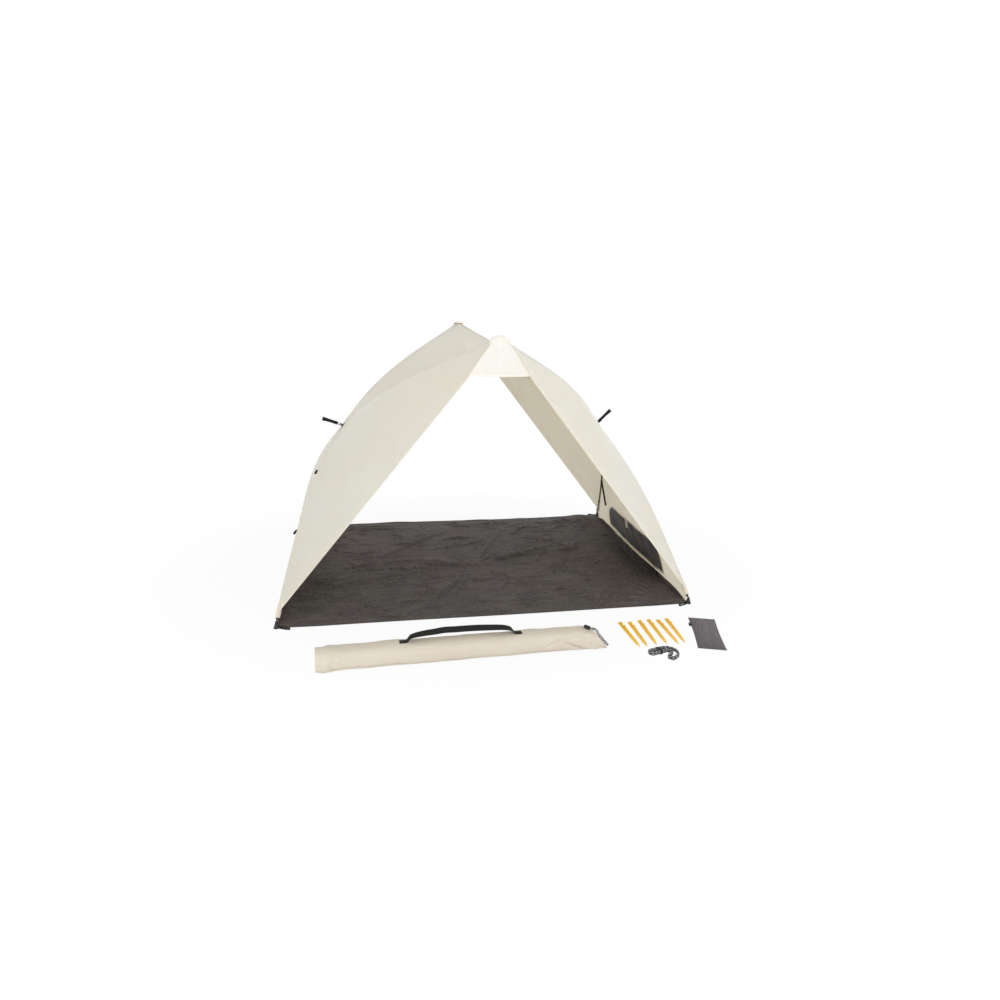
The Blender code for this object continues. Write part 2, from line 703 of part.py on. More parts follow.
def build_side_panels():
    """The four three-cornered panels beside the openings, each from a foot over the hub to a peak."""
    for side, hub in HUBS.items():
        for end, along in ENDS.items():
            upper = RODS[(end, side, "upper")]
            lower = RODS[(end, side, "lower")]
            outward = Vector((hub.sign * 0.75, along * 0.31, 0.58))
            grid = panel_grid(lower, upper, 13, 7, PANEL_SAG, -outward.normalized(), FOOT_CLEAR)
            hem_top = peak_hem(end, side)
            last = grid[-1]
            grid[-1] = between(last[0], hem_top, 7, 0.0)
            cloth_sheet(f"{end}_{side}_panel", grid, CANOPY_CLOTH, outward)


def peak_hem(end, side):
    """The top corner of a side panel, beside the top of the cloth."""
    return peak_top(end) + Vector((SIDES[side] * (SEAM_GAP + 0.001), 0.0, -0.0015))


def build_roof():
    """The saddle between the four upper rods, sewn from two halves along the ridge."""
    for side, hub in HUBS.items():
        front, rear = RODS[("front", side, "upper")], RODS[("rear", side, "upper")]
        grid = panel_grid(front, rear, 13, 11, SADDLE_DIP, -UP)
        edge = hub.sign * (SEAM_GAP + 0.0004)
        line = between(peak_top("front"), peak_top("rear"), 11, 0.012)
        for j, point in enumerate(line):
            across = j / 10
            dip = SADDLE_DIP * 4 * across * (1 - across)
            grid[-1][j] = Vector((edge, point.y, point.z - dip))
        cloth_sheet(f"{side}_roof_panel", grid, CANOPY_CLOTH, Vector((hub.sign * 0.5, 0.0, 0.8)))


def hem_point(end, side, drop):
    """A point of a side panel's straight hem, at a depth below the top of the cloth."""
    lower = RODS[(end, side, "lower")]
    top = peak_hem(end, side)
    foot = lower.seam(seam_stations(lower, 2, FOOT_CLEAR)[-1])
    return top.lerp(foot, (RIDGE_HEIGHT - drop - top.z) / (foot.z - top.z))


def build_hoods():
    """The pale hood that fills the top of each opening."""
    rows, columns = 6, 9
    for end, along in ENDS.items():
        grid = []
        for i in range(rows):
            drop = HOOD_TOP + (HOOD_HEIGHT - HOOD_TOP) * i / (rows - 1)
            left, right = hem_point(end, "left", drop), hem_point(end, "right", drop)
            row = between(left, right, columns, 2 * SEAM_GAP)
            for j, point in enumerate(row):
                across = 2 * j / (columns - 1) - 1
                point.y += along * HOOD_BULGE * (1 - across ** 2) * drop / HOOD_HEIGHT
            grid.append(row)
        cloth_sheet(f"{end}_hood", grid, HOOD_CLOTH, Vector((0.0, along, 0.0)))


def window_outline(grow):
    """The arched window, in (along the wall, height)."""
    half = WINDOW_HALF + grow
    corner = WINDOW_CORNER + grow
    low, high = WINDOW_LOW - grow, WINDOW_HIGH + grow
    outline = [(-half, low), (half, low)]
    outline += arc((half - corner, high - corner), corner, 0.0, math.pi / 2, 6)
    outline += arc((corner - half, high - corner), corner, math.pi / 2, math.pi, 6)
    return outline


def wall_sheet(name, side, coat):
    """The side wall between the two lower rods, down to the edge of the groundsheet."""
    hub = HUBS[side]
    front, rear = RODS[("front", side, "lower")], RODS[("rear", side, "lower")]
    outward = Vector((hub.sign * 0.92, 0.0, 0.37))
    grid = panel_grid(front, rear, 12, 9, WALL_SAG, -outward.normalized(), FOOT_CLEAR, FOOT_CLEAR)
    foot = hub.sign * (WIDTH / 2 + 0.001)
    ground = between(Vector((foot, -DEPTH / 2, SHEET + GAP)), Vector((foot, DEPTH / 2, SHEET + GAP)), 9,
                     FOOT_CLEAR)
    grid.append(ground)
    return cloth_sheet(name, grid, coat, outward)


def build_walls():
    """Both side walls, each with its arched mesh window."""
    for side, hub in HUBS.items():
        across = Vector((0.0, 1.0, 0.0))
        place = basis(across, Vector((1.0, 0.0, 0.0)), Vector((hub.sign * WIDTH / 2, 0.0, 0.0)))
        for name, coat, grow, operation in ((f"{side}_wall", CANOPY_CLOTH, 0.0, "DIFFERENCE"),
                                            (f"{side}_window", MESH_CLOTH, -WINDOW_GAP, "INTERSECT")):
            shape = flat_shape(name + "_cutter", [window_outline(grow)], 0.5, None, place, CUTTERS)
            cutter = add_object(name + "_cutter", welded_mesh(shape), None, group=CUTTERS)
            cutter.hide_render = True
            cutter.display_type = "WIRE"
            wall = wall_sheet(name, side, coat)
            cut = wall.modifiers.new("window", "BOOLEAN")
            cut.operation = operation
            cut.solver = "EXACT"
            cut.object = cutter


def welded_mesh(item):
    """A curve's shape as one closed mesh, in world space; the curve is removed."""
    matrix = item.matrix_world.copy()
    mesh = take_mesh(item)
    mesh.transform(matrix)
    shape = bmesh.new()
    shape.from_mesh(mesh)
    bmesh.ops.remove_doubles(shape, verts=shape.verts, dist=0.00001)
    bmesh.ops.recalc_face_normals(shape, faces=shape.faces)
    shape.to_mesh(mesh)
    shape.free()
    return mesh


def build_pocket():
    """The open storage pocket inside the right wall, with its floor on the groundsheet."""
    grid = []
    rows, columns = 7, 11
    for i in range(rows):
        share = i / (rows - 1)
        row = []
        for j in range(columns):
            across = 2 * j / (columns - 1) - 1
            full = 1 - across ** 4
            y = POCKET_LENGTH / 2 * across + POCKET_Y
            height = SHEET + GAP + POCKET_HEIGHT * (share ** 1.2) * (0.55 + 0.45 * full if share else 1.0)
            face = POCKET_BACK - WALL_LEAN * height
            depth = POCKET_DEPTH * full * (0.25 + 0.75 * min(1.0, 0.6 + share) * (1.0 - 0.35 * share ** 3))
            row.append(Vector((face - depth, y, height)))
        grid.append(row)
    floor = [Vector((min(p.x + POCKET_DEPTH * 0.8, POCKET_BACK), p.y, SHEET + GAP)) for p in grid[0]]
    cloth_sheet("right_pocket", [floor] + grid, MESH_CLOTH, Vector((1.0, 0.0, 0.3)))


def build_groundsheet():
    """The groundsheet: a rectangle cut away round each foot."""
    clear = FOOT_RADIUS + 0.0004
    cut = math.asin(SHEET_INSET / clear)
    quarter = math.pi / 2
    outline = []
    for k, (sign_x, sign_y) in enumerate(((-1, -1), (1, -1), (1, 1), (-1, 1))):
        start = quarter * (k + 1) - (cut if k % 2 else 0.0)
        end = quarter * k + (0.0 if k % 2 else cut)
        outline += arc((sign_x * WIDTH / 2, sign_y * DEPTH / 2), clear, start, end, 7)
    flat_shape("groundsheet", [outline], SHEET, SHEET_CLOTH, Matrix.Translation((0, 0, SHEET / 2)))


def bag_section(share):
    """Half-width, height and slant of the bag's section at a share of its length."""
    left = min(1.0, 0.45 + share / 0.05 * 0.55)
    mouth = max(0.0, (share - 0.88) / 0.12)
    half = BAG_WIDTH / 2 * left * (1 + 0.10 * mouth)
    return half, BAG_HEIGHT * (0.8 + 0.2 * left) * (1 - 0.12 * mouth), BAG_SLANT * mouth


def bag_ring(share, count=16):
    """One section of the bag: a soft rectangle, leaning back towards the slanted mouth."""
    half, high, slant = bag_section(share)
    ring = []
    for k in range(count):
        a = 2 * math.pi * k / count
        y = half * math.copysign(abs(math.cos(a)) ** 0.8, math.cos(a))
        z = high / 2 * (1 + math.copysign(abs(math.sin(a)) ** 0.8, math.sin(a)))
        ring.append(Vector((BAG_LENGTH * (share - 0.5) - slant * z, y, z)))
    return ring


def build_bag():
    """The closed carry bag, its webbing handle, and the cord lock at its drawn mouth."""
    place = Matrix.Translation(BAG_CENTRE) @ Matrix.Rotation(BAG_TURN, 4, "Z")
    shares = [0.0, 0.012, 0.05, 0.2, 0.35, 0.5, 0.65, 0.8, 0.88, 0.92, 0.96, 1.0]
    rings = [bag_ring(share) for share in shares]
    add_object("carry_bag", lofted(rings, "carry_bag"), BAG_CLOTH, place)
    build_handle(place)
    _, high, slant = bag_section(LOCK_SHARE)
    seat = Vector((BAG_LENGTH * (LOCK_SHARE - 0.5) - slant * high, 0.0, high + LOCK_RADIUS + 3 * GAP))
    lock_place = place @ Matrix.Translation(seat) @ Matrix.Rotation(LOCK_TURN, 4, "Z") \
        @ Matrix.Rotation(math.radians(90), 4, "Y")
    profile = [(0.0, LOCK_LENGTH / 2), (LOCK_RADIUS * 0.6, LOCK_LENGTH / 2),
               (LOCK_RADIUS * 0.6, LOCK_LENGTH * 0.3), (LOCK_RADIUS, LOCK_LENGTH * 0.25),
               (LOCK_RADIUS, -LOCK_LENGTH * 0.4),
               (LOCK_RADIUS * 0.8, -LOCK_LENGTH / 2), (0.0, -LOCK_LENGTH / 2)]
    smooth(add_object("bag_cord_lock", turned_mesh(profile, 16, "lock"), MOULDING, lock_place))


def build_handle(place):
    """The webbing handle, sewn to the bag's top at both ends."""
    half = HANDLE_SPAN / 2
    foot = HANDLE_FOOT
    steps = 14
    low = [(-half - foot, 0.0)]
    low += [(-half + HANDLE_SPAN * i / steps, HANDLE_RISE * math.sin(math.pi * i / steps) ** 0.28)
            for i in range(steps + 1)]
    low.append((half + foot, 0.0))
    high = [(x, y + HANDLE_THICKNESS) for x, y in reversed(low)]
    stand = place @ Matrix.Translation((HANDLE_X - BAG_CENTRE.x, 0.0, BAG_HEIGHT + GAP)) \
        @ Matrix.Rotation(math.radians(90), 4, "X")
    flat_shape("bag_handle", [low + high], HANDLE_WIDTH, WEBBING, stand)


def peg_mesh():
    """One moulded peg: a tapered blade with a hooked head and ribs. Y runs from the tip to the head."""
    wide, long = PEG_WIDTH / 2, PEG_LENGTH
    outline = [(0.0, 0.0), (wide * 0.75, 0.045), (wide, 0.80 * long), (wide + 0.004, 0.84 * long),
               (wide + 0.004, 0.865 * long), (wide * 0.35, 0.875 * long), (wide * 0.35, 0.905 * long),
               (wide * 0.9, 0.92 * long), (wide + 0.001, 0.985 * long), (wide * 0.6, long),
               (-wide * 0.6, long), (-wide - 0.001, 0.985 * long), (-wide, 0.80 * long), (-wide * 0.75, 0.045)]
    blade = welded_mesh(flat_shape("peg_blade", [outline], PEG_THICKNESS, None, Matrix(), CUTTERS))
    rib_outline = [(0.03, -PEG_THICKNESS * 0.4), (0.80 * long, -PEG_RIB / 2), (0.95 * long, -PEG_RIB / 2),
                   (0.95 * long, PEG_RIB / 2), (0.80 * long, PEG_RIB / 2), (0.03, PEG_THICKNESS * 0.4)]
    stand = basis(Vector((0, 1, 0)), Vector((1, 0, 0)))
    rib = welded_mesh(flat_shape("peg_rib", [rib_outline], PEG_THICKNESS * 0.7, None, stand, CUTTERS))
    return combine(blade, [rib], [], "peg")


def build_pegs():
    """Six pegs, side by side in front of the shelter."""
    peg = peg_mesh()
    for i, (x, y, turn) in enumerate(PEG_PLACES):
        place = Matrix.Translation((x, y, PEG_RIB / 2)) @ Matrix.Rotation(math.radians(turn), 4, "Z") \
            @ Matrix.Translation((0, -PEG_LENGTH, 0))
        add_object(f"ground_peg_{i + 1}", peg, PEG_PLASTIC, place)


def hank_line(s):
    """A point of the hank's middle line and its direction, by the distance along it."""
    heading = Matrix.Rotation(HANK_HEADING, 3, "Z")
    if s <= HANK_RUN:
        return HANK_START + heading @ Vector((s, 0, 0)), heading @ Vector((1, 0, 0))
    turned = min(s - HANK_RUN, HANK_BEND * HANK_BEND_ANGLE) / HANK_BEND
    past = max(0.0, s - HANK_RUN - HANK_BEND * HANK_BEND_ANGLE)
    ahead = Vector((math.cos(turned), -math.sin(turned), 0))
    point = Vector((HANK_RUN, -HANK_BEND, 0)) + HANK_BEND * Vector((math.sin(turned), math.cos(turned), 0))
    return HANK_START + heading @ (point + past * ahead), heading @ ahead


def hank_points():
    """The cord's middle line: loops that spiral in and out, a layer higher at each turning back."""
    length = HANK_RUN + HANK_BEND * HANK_BEND_ANGLE + HANK_TAIL
    turns = HANK_LAYERS * HANK_TURNS_IN_LAYER
    points = []
    for i in range(turns * HANK_STEPS + 1):
        turn = i / HANK_STEPS
        cycle = turn % (2 * HANK_TURNS_IN_LAYER)
        wide = abs(HANK_TURNS_IN_LAYER - cycle)
        offset = HANK_INNER + CORD_PITCH * wide
        climb = turn / HANK_TURNS_IN_LAYER
        nearest = round(climb)
        rise = 0.0
        if 0 < nearest < HANK_LAYERS:
            rise = max(-0.5, min(0.5, (climb - nearest) * HANK_TURNS_IN_LAYER * 2))
            layer = nearest - 0.5 + rise
        else:
            layer = min(HANK_LAYERS - 1, math.floor(climb))
        phase = turn % 1.0
        along, side = racetrack(phase, length, offset)
        waist = math.sin(math.pi * min(1.0, max(0.0, along / length))) ** 0.5 if 0 < along < length else 0.0
        side *= (offset - HANK_WAIST * waist) / offset
        point, ahead = hank_line(min(max(along, 0.0), length))
        over = along - min(max(along, 0.0), length)
        left = Vector((-ahead.y, ahead.x, 0))
        height = HANK_LIFT + CORD_RADIUS + CORD_PITCH * layer
        points.append(point + over * ahead + side * left + Vector((0, 0, height)))
    return points


def racetrack(phase, length, offset):
    """A point of a loop of two runs and two round ends, as (along, aside). Phase 0 is the middle of a run."""
    half_end = math.pi * offset
    total = 2 * length + 2 * half_end
    s = (phase * total + length / 2) % total
    if s < length:
        return s, offset
    s -= length
    if s < half_end:
        a = s / offset
        return length + offset * math.sin(a), offset * math.cos(a)
    s -= half_end
    if s < length:
        return length - s, -offset
    a = (s - length) / offset
    return -offset * math.sin(a), -offset * math.cos(a)


def least_gap(points, radius, skip):
    """The smallest space between a tube's stretches, leaving out neighbours along the tube."""
    best = 1.0
    for i, first in enumerate(points):
        for second in points[i + skip:]:
            if abs(first.x - second.x) < 0.01 and abs(first.y - second.y) < 0.01:
                best = min(best, (first - second).length - 2 * radius)
    return best


def build_hank():
    """The guy line as a hank of real loops, and the band that ties it."""
    points = hank_points()
    tube("guy_line_hank", points, CORD_RADIUS, GUY_CORD, sides=1)
    length = sum((b - a).length for a, b in zip(points, points[1:]))
    gap = least_gap(points, CORD_RADIUS, 3)
    print(f"guy line: {length:.2f} m, least gap between its strands {gap * 1000:.2f} mm")
    build_hank_tie()


def build_hank_tie():
    """A flat band round the waist of the hank, which it lifts off the ground by its own thickness."""
    half = HANK_INNER - HANK_WAIST + HANK_TURNS_IN_LAYER * CORD_PITCH + CORD_RADIUS + 0.0012
    top = HANK_LIFT + 2 * CORD_RADIUS + (HANK_LAYERS - 1) * CORD_PITCH + GAP
    low = GAP + TIE_THICKNESS
    centre, ahead = hank_line(HANK_RUN * TIE_PLACE)

    def outline(grow):
        return [(-half - grow, low - grow), (half + grow, low - grow), (half + grow, top + grow),
                (-half - grow, top + grow)]

    place = basis(UP.cross(ahead), ahead, centre)
    flat_shape("hank_tie", [outline(TIE_THICKNESS), outline(0.0)], TIE_WIDTH, WEBBING, place)


def pouch_half(share):
    """Half the pouch's width at a share of its length: its long sides pull in a little."""
    return POUCH_WIDTH / 2 * (1 - 0.06 * math.sin(math.pi * share))


def build_pouch():
    """The flat pouch for the pegs and the guy line, with the lock on its drawn cord."""
    place = Matrix.Translation(POUCH_CENTRE) @ Matrix.Rotation(POUCH_TURN, 4, "Z")
    rings = []
    count = 9
    for i in range(count):
        share = i / (count - 1)
        y = POUCH_LENGTH * (share - 0.5)
        full = max(0.12, math.sin(math.pi * share) ** 0.35)
        half = pouch_half(share)
        high = POUCH_HEIGHT * full
        ring = [Vector((-half, y, 0.0004)), Vector((half, y, 0.0004)), Vector((half, y, 0.0024))]
        ring += [Vector((half * c, y, high * (1 - 0.25 * abs(c)))) for c in (0.6, 0.0, -0.6)]
        ring.append(Vector((-half, y, 0.0024)))
        rings.append(ring)
    add_object("peg_pouch", lofted(rings, "peg_pouch"), POUCH_CLOTH, place)
    high = POUCH_LOCK_LENGTH / 2
    profile = [(0.0, high), (LOCK_RADIUS * 0.5, high), (LOCK_RADIUS * 0.5, high * 0.5),
               (LOCK_RADIUS * 0.85, high * 0.45), (LOCK_RADIUS * 0.85, -high), (0.0, -high)]
    beside = pouch_half(POUCH_LOCK_SHARE) + LOCK_RADIUS * 0.70
    seat = Vector((-beside, POUCH_LENGTH * (POUCH_LOCK_SHARE - 0.5), LOCK_RADIUS * 0.85))
    lock_place = place @ Matrix.Translation(seat) \
        @ Matrix.Rotation(math.radians(90), 4, "X")
    smooth(add_object("pouch_cord_lock", turned_mesh(profile, 16, "pouch_lock"), MOULDING, lock_place))


build_rods()
build_hubs()
build_pull_straps()
build_peaks()
build_feet()
build_side_panels()
build_roof()
build_hoods()
build_walls()
build_pocket()
build_groundsheet()
build_bag()
build_pegs()
build_hank()
build_pouch()
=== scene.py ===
"""Pop-up sun shelter: its cloth, webbing, cords and finishes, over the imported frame.

Units are metres and +Z is up. The origin is the middle of the groundsheet, on the ground. +X is to the right
of someone who looks in at the front, and +Y runs to the rear.
"""
from __future__ import annotations

import json
import logging
import math
from dataclasses import dataclass, field
from enum import Enum
from functools import partial
from typing import Callable, Sequence

import bmesh
import bpy
import numpy as np
from mathutils import Matrix, Vector
from mathutils.bvhtree import BVHTree

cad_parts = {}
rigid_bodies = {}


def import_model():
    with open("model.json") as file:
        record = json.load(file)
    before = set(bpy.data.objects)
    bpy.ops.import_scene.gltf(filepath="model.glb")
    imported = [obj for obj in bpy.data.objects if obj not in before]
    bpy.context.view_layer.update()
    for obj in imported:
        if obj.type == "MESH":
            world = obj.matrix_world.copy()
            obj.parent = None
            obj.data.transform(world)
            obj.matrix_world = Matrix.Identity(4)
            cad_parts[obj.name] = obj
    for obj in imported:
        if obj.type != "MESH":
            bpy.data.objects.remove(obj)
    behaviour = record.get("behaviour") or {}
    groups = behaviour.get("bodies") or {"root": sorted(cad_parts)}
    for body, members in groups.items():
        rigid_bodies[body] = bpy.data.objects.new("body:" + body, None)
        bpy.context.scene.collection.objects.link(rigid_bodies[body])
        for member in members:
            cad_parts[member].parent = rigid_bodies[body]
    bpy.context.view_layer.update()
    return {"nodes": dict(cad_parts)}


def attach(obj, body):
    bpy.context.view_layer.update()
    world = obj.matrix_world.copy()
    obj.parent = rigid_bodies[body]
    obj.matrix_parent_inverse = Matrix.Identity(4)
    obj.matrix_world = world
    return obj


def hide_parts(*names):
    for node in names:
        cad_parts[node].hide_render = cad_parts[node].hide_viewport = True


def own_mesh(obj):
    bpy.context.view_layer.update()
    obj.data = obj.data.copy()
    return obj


LOG = logging.getLogger("shelter")
UP = Vector((0.0, 0.0, 1.0))
KIT_BODY = "groundsheet_and_kit"
STITCH_LIFT = 0.00145


# ---- the pitched frame, with the same driving sizes as the part's source

class Side(Enum):
    """The left or the right of the shelter, with its sign along X."""

    LEFT = -1
    RIGHT = 1

    @property
    def word(self) -> str:
        """The side's name in node and body names."""
        return self.name.lower()


class End(Enum):
    """The front or the rear of the shelter, with its sign along Y."""

    FRONT = -1
    REAR = 1

    @property
    def word(self) -> str:
        """The end's name in node and body names."""
        return self.name.lower()


class Level(Enum):
    """Rods above a hub run to a peak, and rods below it to a foot."""

    UPPER = "upper"
    LOWER = "lower"


@dataclass(frozen=True)
class Pitch:
    """Driving sizes of the pitched shelter, and how its cloth meets along the seams."""

    width: float = 2.200
    depth: float = 1.575
    ridge_height: float = 1.428
    ridge_length: float = 1.510
    hub_x: float = 0.757
    hub_height: float = 0.862
    hub_pin: float = 0.030
    mouth: float = 0.0465
    tip_slope: float = 0.5
    peak_pin_x: float = 0.013
    peak_pin_back: float = 0.026
    peak_pin_drop: float = 0.023
    pivot_height: float = 0.030
    foot_radius: float = 0.016
    cloth_offset: float = 0.0087
    peak_offset: float = 0.017
    peak_blend: float = 0.12
    cloth_start: float = 0.0078
    seam_gap: float = 0.0003
    foot_clear: float = 0.036
    sheet: float = 0.0015
    hem_aside: float = 0.0015
    hood_join: float = 0.175
    hood_flare: float = 0.068
    corner_aside: float = 0.0016
    corner_back: float = 0.003
    corner_drop: float = 0.0006
    corner_share: float = 0.015
    hem_drop: float = 0.0015
    row_spread: float = 1.35
    last_rows: float = 11 / 12


PITCH = Pitch()


@dataclass(frozen=True)
class Hub:
    """One hub's place, its outward normal and its in-plane up direction."""

    side: Side
    centre: Vector
    up: Vector
    normal: Vector

    @classmethod
    def of(cls, side: Side) -> Hub:
        """The hub of a side, from the pitch sizes.

        Args:
            side: The side.

        Returns:
            The hub.
        """
        up = Vector((-side.value * PITCH.width / 2, 0.0, PITCH.ridge_height)).normalized()
        normal = Vector((side.value * up.z, 0.0, abs(up.x)))
        return cls(side, Vector((side.value * PITCH.hub_x, 0.0, PITCH.hub_height)), up, normal)

    @property
    def matrix(self) -> Matrix:
        """The hub's frame: X up the cloth, Z outwards."""
        return axes(self.up, self.normal, self.centre)


class Rod:
    """One rod's middle line, and the seam of the cloth over it."""

    def __init__(self, end: End, side: Side, level: Level) -> None:
        """Work out the rod from the pitch sizes.

        Args:
            end: The end of the shelter that the rod runs to.
            side: The side of its hub.
            level: Above or below the hub.
        """
        self.end, self.side, self.level = end, side, level
        self.hub = Hub.of(side)
        self.body = f"{end.word}_{side.word}_{level.value}_rod"
        if level is Level.UPPER:
            self.tip = Vector((side.value * PITCH.peak_pin_x,
                               end.value * (PITCH.ridge_length / 2 - PITCH.peak_pin_back),
                               PITCH.ridge_height - PITCH.peak_pin_drop))
        else:
            self.tip = Vector((side.value * PITCH.width / 2, end.value * PITCH.depth / 2, PITCH.pivot_height))
        reach = self.tip - self.hub.centre
        self.radial = (reach - reach.dot(self.hub.normal) * self.hub.normal).normalized()
        self.pin = self.hub.centre + PITCH.hub_pin * self.radial
        chord = (self.tip - self.pin).normalized()
        spring = self.radial - self.radial.dot(chord) * chord
        self.arriving = (chord - PITCH.tip_slope * spring).normalized()
        self.near = self.pin + PITCH.mouth * self.radial
        self.far = self.tip - PITCH.mouth * self.arriving
        self.span = (self.far - self.near).length
        self.length = self.span + 2 * PITCH.mouth

    def at(self, distance: float) -> Vector:
        """A point of the rod's middle line.

        Args:
            distance: How far along the rod it is from the hub pin.

        Returns:
            The point.
        """
        if distance <= PITCH.mouth:
            return self.pin + distance * self.radial
        if distance >= self.length - PITCH.mouth:
            return self.tip - (self.length - distance) * self.arriving
        share = (distance - PITCH.mouth) / self.span
        rest, handle = 1 - share, self.span / 3
        return (rest ** 3 * self.near + 3 * rest ** 2 * share * (self.near + handle * self.radial)
                + 3 * rest * share ** 2 * (self.far - handle * self.arriving) + share ** 3 * self.far)

    def seam(self, distance: float) -> Vector:
        """A point of the cloth's seam over the rod.

        Args:
            distance: How far along the seam it is from the hub's axis.

        Returns:
            The point.
        """
        offset = PITCH.cloth_offset
        if distance <= PITCH.hub_pin:
            return self.hub.centre + distance * self.radial + offset * self.hub.normal
        place = distance - PITCH.hub_pin
        if self.level is Level.UPPER:
            near_peak = max(0.0, 1 - (self.length - place) / PITCH.peak_blend)
            offset += (PITCH.peak_offset - PITCH.cloth_offset) * near_peak
        return self.at(place) + offset * self.outward(place)

    def outward(self, place: float) -> Vector:
        """The direction from the rod to its cloth.

        Args:
            place: The distance along the rod from the hub pin.

        Returns:
            The direction.
        """
        ahead = (self.at(place + 0.004) - self.at(place)).normalized()
        normal = self.hub.normal
        return (normal - normal.dot(ahead) * ahead).normalized()

    def station(self, share: float, clear: float = 0.0) -> float:
        """The distance along the seam at a share of the cloth's height, closer together near the hub."""
        total = PITCH.hub_pin + self.length - clear
        return PITCH.cloth_start + (total - PITCH.cloth_start) * share ** PITCH.row_spread


RODS = {(end, side, level): Rod(end, side, level) for side in Side for end in End for level in Level}


def axes(x_axis: Vector, z_axis: Vector, origin: Vector = Vector()) -> Matrix:
    """A frame with its X and Z along two square directions.

    Args:
        x_axis: The direction of X.
        z_axis: The direction of Z.
        origin: Where the frame stands.

    Returns:
        The frame as a matrix.
    """
    x_axis, z_axis = x_axis.normalized(), z_axis.normalized()
    turn = Matrix((x_axis, z_axis.cross(x_axis), z_axis)).transposed()
    return Matrix.Translation(origin) @ turn.to_4x4()


def peak_top(end: End) -> Vector:
    """The top of the cloth over a peak connector."""
    return Vector((0.0, end.value * PITCH.ridge_length / 2, PITCH.ridge_height))


def peak_hem(end: End, side: Side) -> Vector:
    """The top corner of a side panel, beside the top of the cloth."""
    return peak_top(end) + Vector((side.value * (PITCH.seam_gap + 0.001), 0.0, -PITCH.hem_drop))


def hem_point(end: End, side: Side, drop: float) -> Vector:
    """A point of a side panel's straight hem.

    Args:
        end: The end of the opening.
        side: The side of the opening.
        drop: How far the point lies below the top of the cloth.

    Returns:
        The point.
    """
    lower = RODS[(end, side, Level.LOWER)]
    top, foot = peak_hem(end, side), lower.seam(lower.station(1.0, PITCH.foot_clear))
    point = top.lerp(foot, max(0.0, (PITCH.ridge_height - drop - top.z) / (foot.z - top.z)))
    if drop < PITCH.hood_join:
        full = top.lerp(foot, (PITCH.ridge_height - PITCH.hood_join - top.z) / (foot.z - top.z)).x
        share = drop / PITCH.hood_join
        point.x = full * share + side.value * (PITCH.hem_aside + PITCH.hood_flare * (share ** 0.5 - share))
    return point


def hem_line(end: End, side: Side, across: np.ndarray) -> np.ndarray:
    """Points of a side panel's hem.

    Args:
        end: The end of the opening.
        side: The side of the opening.
        across: Places along the hem, from the foot at nought to the peak at one.

    Returns:
        One point for each place.
    """
    lower = RODS[(end, side, Level.LOWER)]
    top, foot = peak_hem(end, side), lower.seam(lower.station(1.0, PITCH.foot_clear))
    drops = (PITCH.ridge_height - top.z) + (top.z - foot.z) * (1 - across)
    line = np.array([tuple(hem_point(end, side, drop)) for drop in drops.tolist()])
    pull = np.clip((across - 1 + PITCH.corner_share) / PITCH.corner_share, 0, 1)[:, None] ** 2
    last = np.array(hem_point(end, side, PITCH.ridge_height - top.z))
    return line + (np.array(peak_corner(end, side)) - last) * pull


def peak_corner(end: End, side: Side) -> Vector:
    """Where the cloths on both sides of an upper rod come together at the top."""
    return Vector((side.value * PITCH.corner_aside, end.value * (PITCH.ridge_length / 2 - PITCH.corner_back),
                   PITCH.ridge_height - PITCH.corner_drop))


# ---- shaders

class Value:
    """One socket of a shader, with the operators that its maths is written in."""

    def __init__(self, shade: Shade, socket: bpy.types.NodeSocket) -> None:
        """Wrap an output socket of a shade's tree."""
        self.shade, self.socket = shade, socket

    def _math(self, operation: str, first: Operand, second: Operand) -> Value:
        """A Math node on two operands."""
        return self.shade.node("ShaderNodeMath", {"operation": operation}, {0: first, 1: second})

    def __add__(self, other: Operand) -> Value:
        """The sum."""
        return self._math("ADD", self, other)

    def __sub__(self, other: Operand) -> Value:
        """The difference."""
        return self._math("SUBTRACT", self, other)

    def __mul__(self, other: Operand) -> Value:
        """The product."""
        return self._math("MULTIPLY", self, other)

    def __rsub__(self, other: Operand) -> Value:
        """The difference from a number."""
        return self._math("SUBTRACT", other, self)

    __radd__ = __add__
    __rmul__ = __mul__

    def over(self, edge: Operand) -> Value:
        """One where the value is greater than an edge, and nought elsewhere."""
        return self._math("GREATER_THAN", self, edge)

    def most(self, other: Operand) -> Value:
        """The greater of two values."""
        return self._math("MAXIMUM", self, other)

    def size(self) -> Value:
        """The value without its sign."""
        return self._math("ABSOLUTE", self, 0.0)

    def sine(self) -> Value:
        """The sine of the value."""
        return self._math("SINE", self, 0.0)

    def within(self, low: float, high: float) -> Value:
        """The value's place between two edges, eased, from nought to one."""
        return self.shade.node("ShaderNodeMapRange", {"interpolation_type": "SMOOTHSTEP"},
                               {0: self, 1: low, 2: high, 3: 0.0, 4: 1.0})


Operand = Value | float
Colour = tuple[float, float, float]


def toned(colour: Colour, share: float, more: float = 0.0) -> Colour:
    """A colour with its channels scaled by a share, and raised by a little more."""
    return tuple(share * c + more for c in colour)


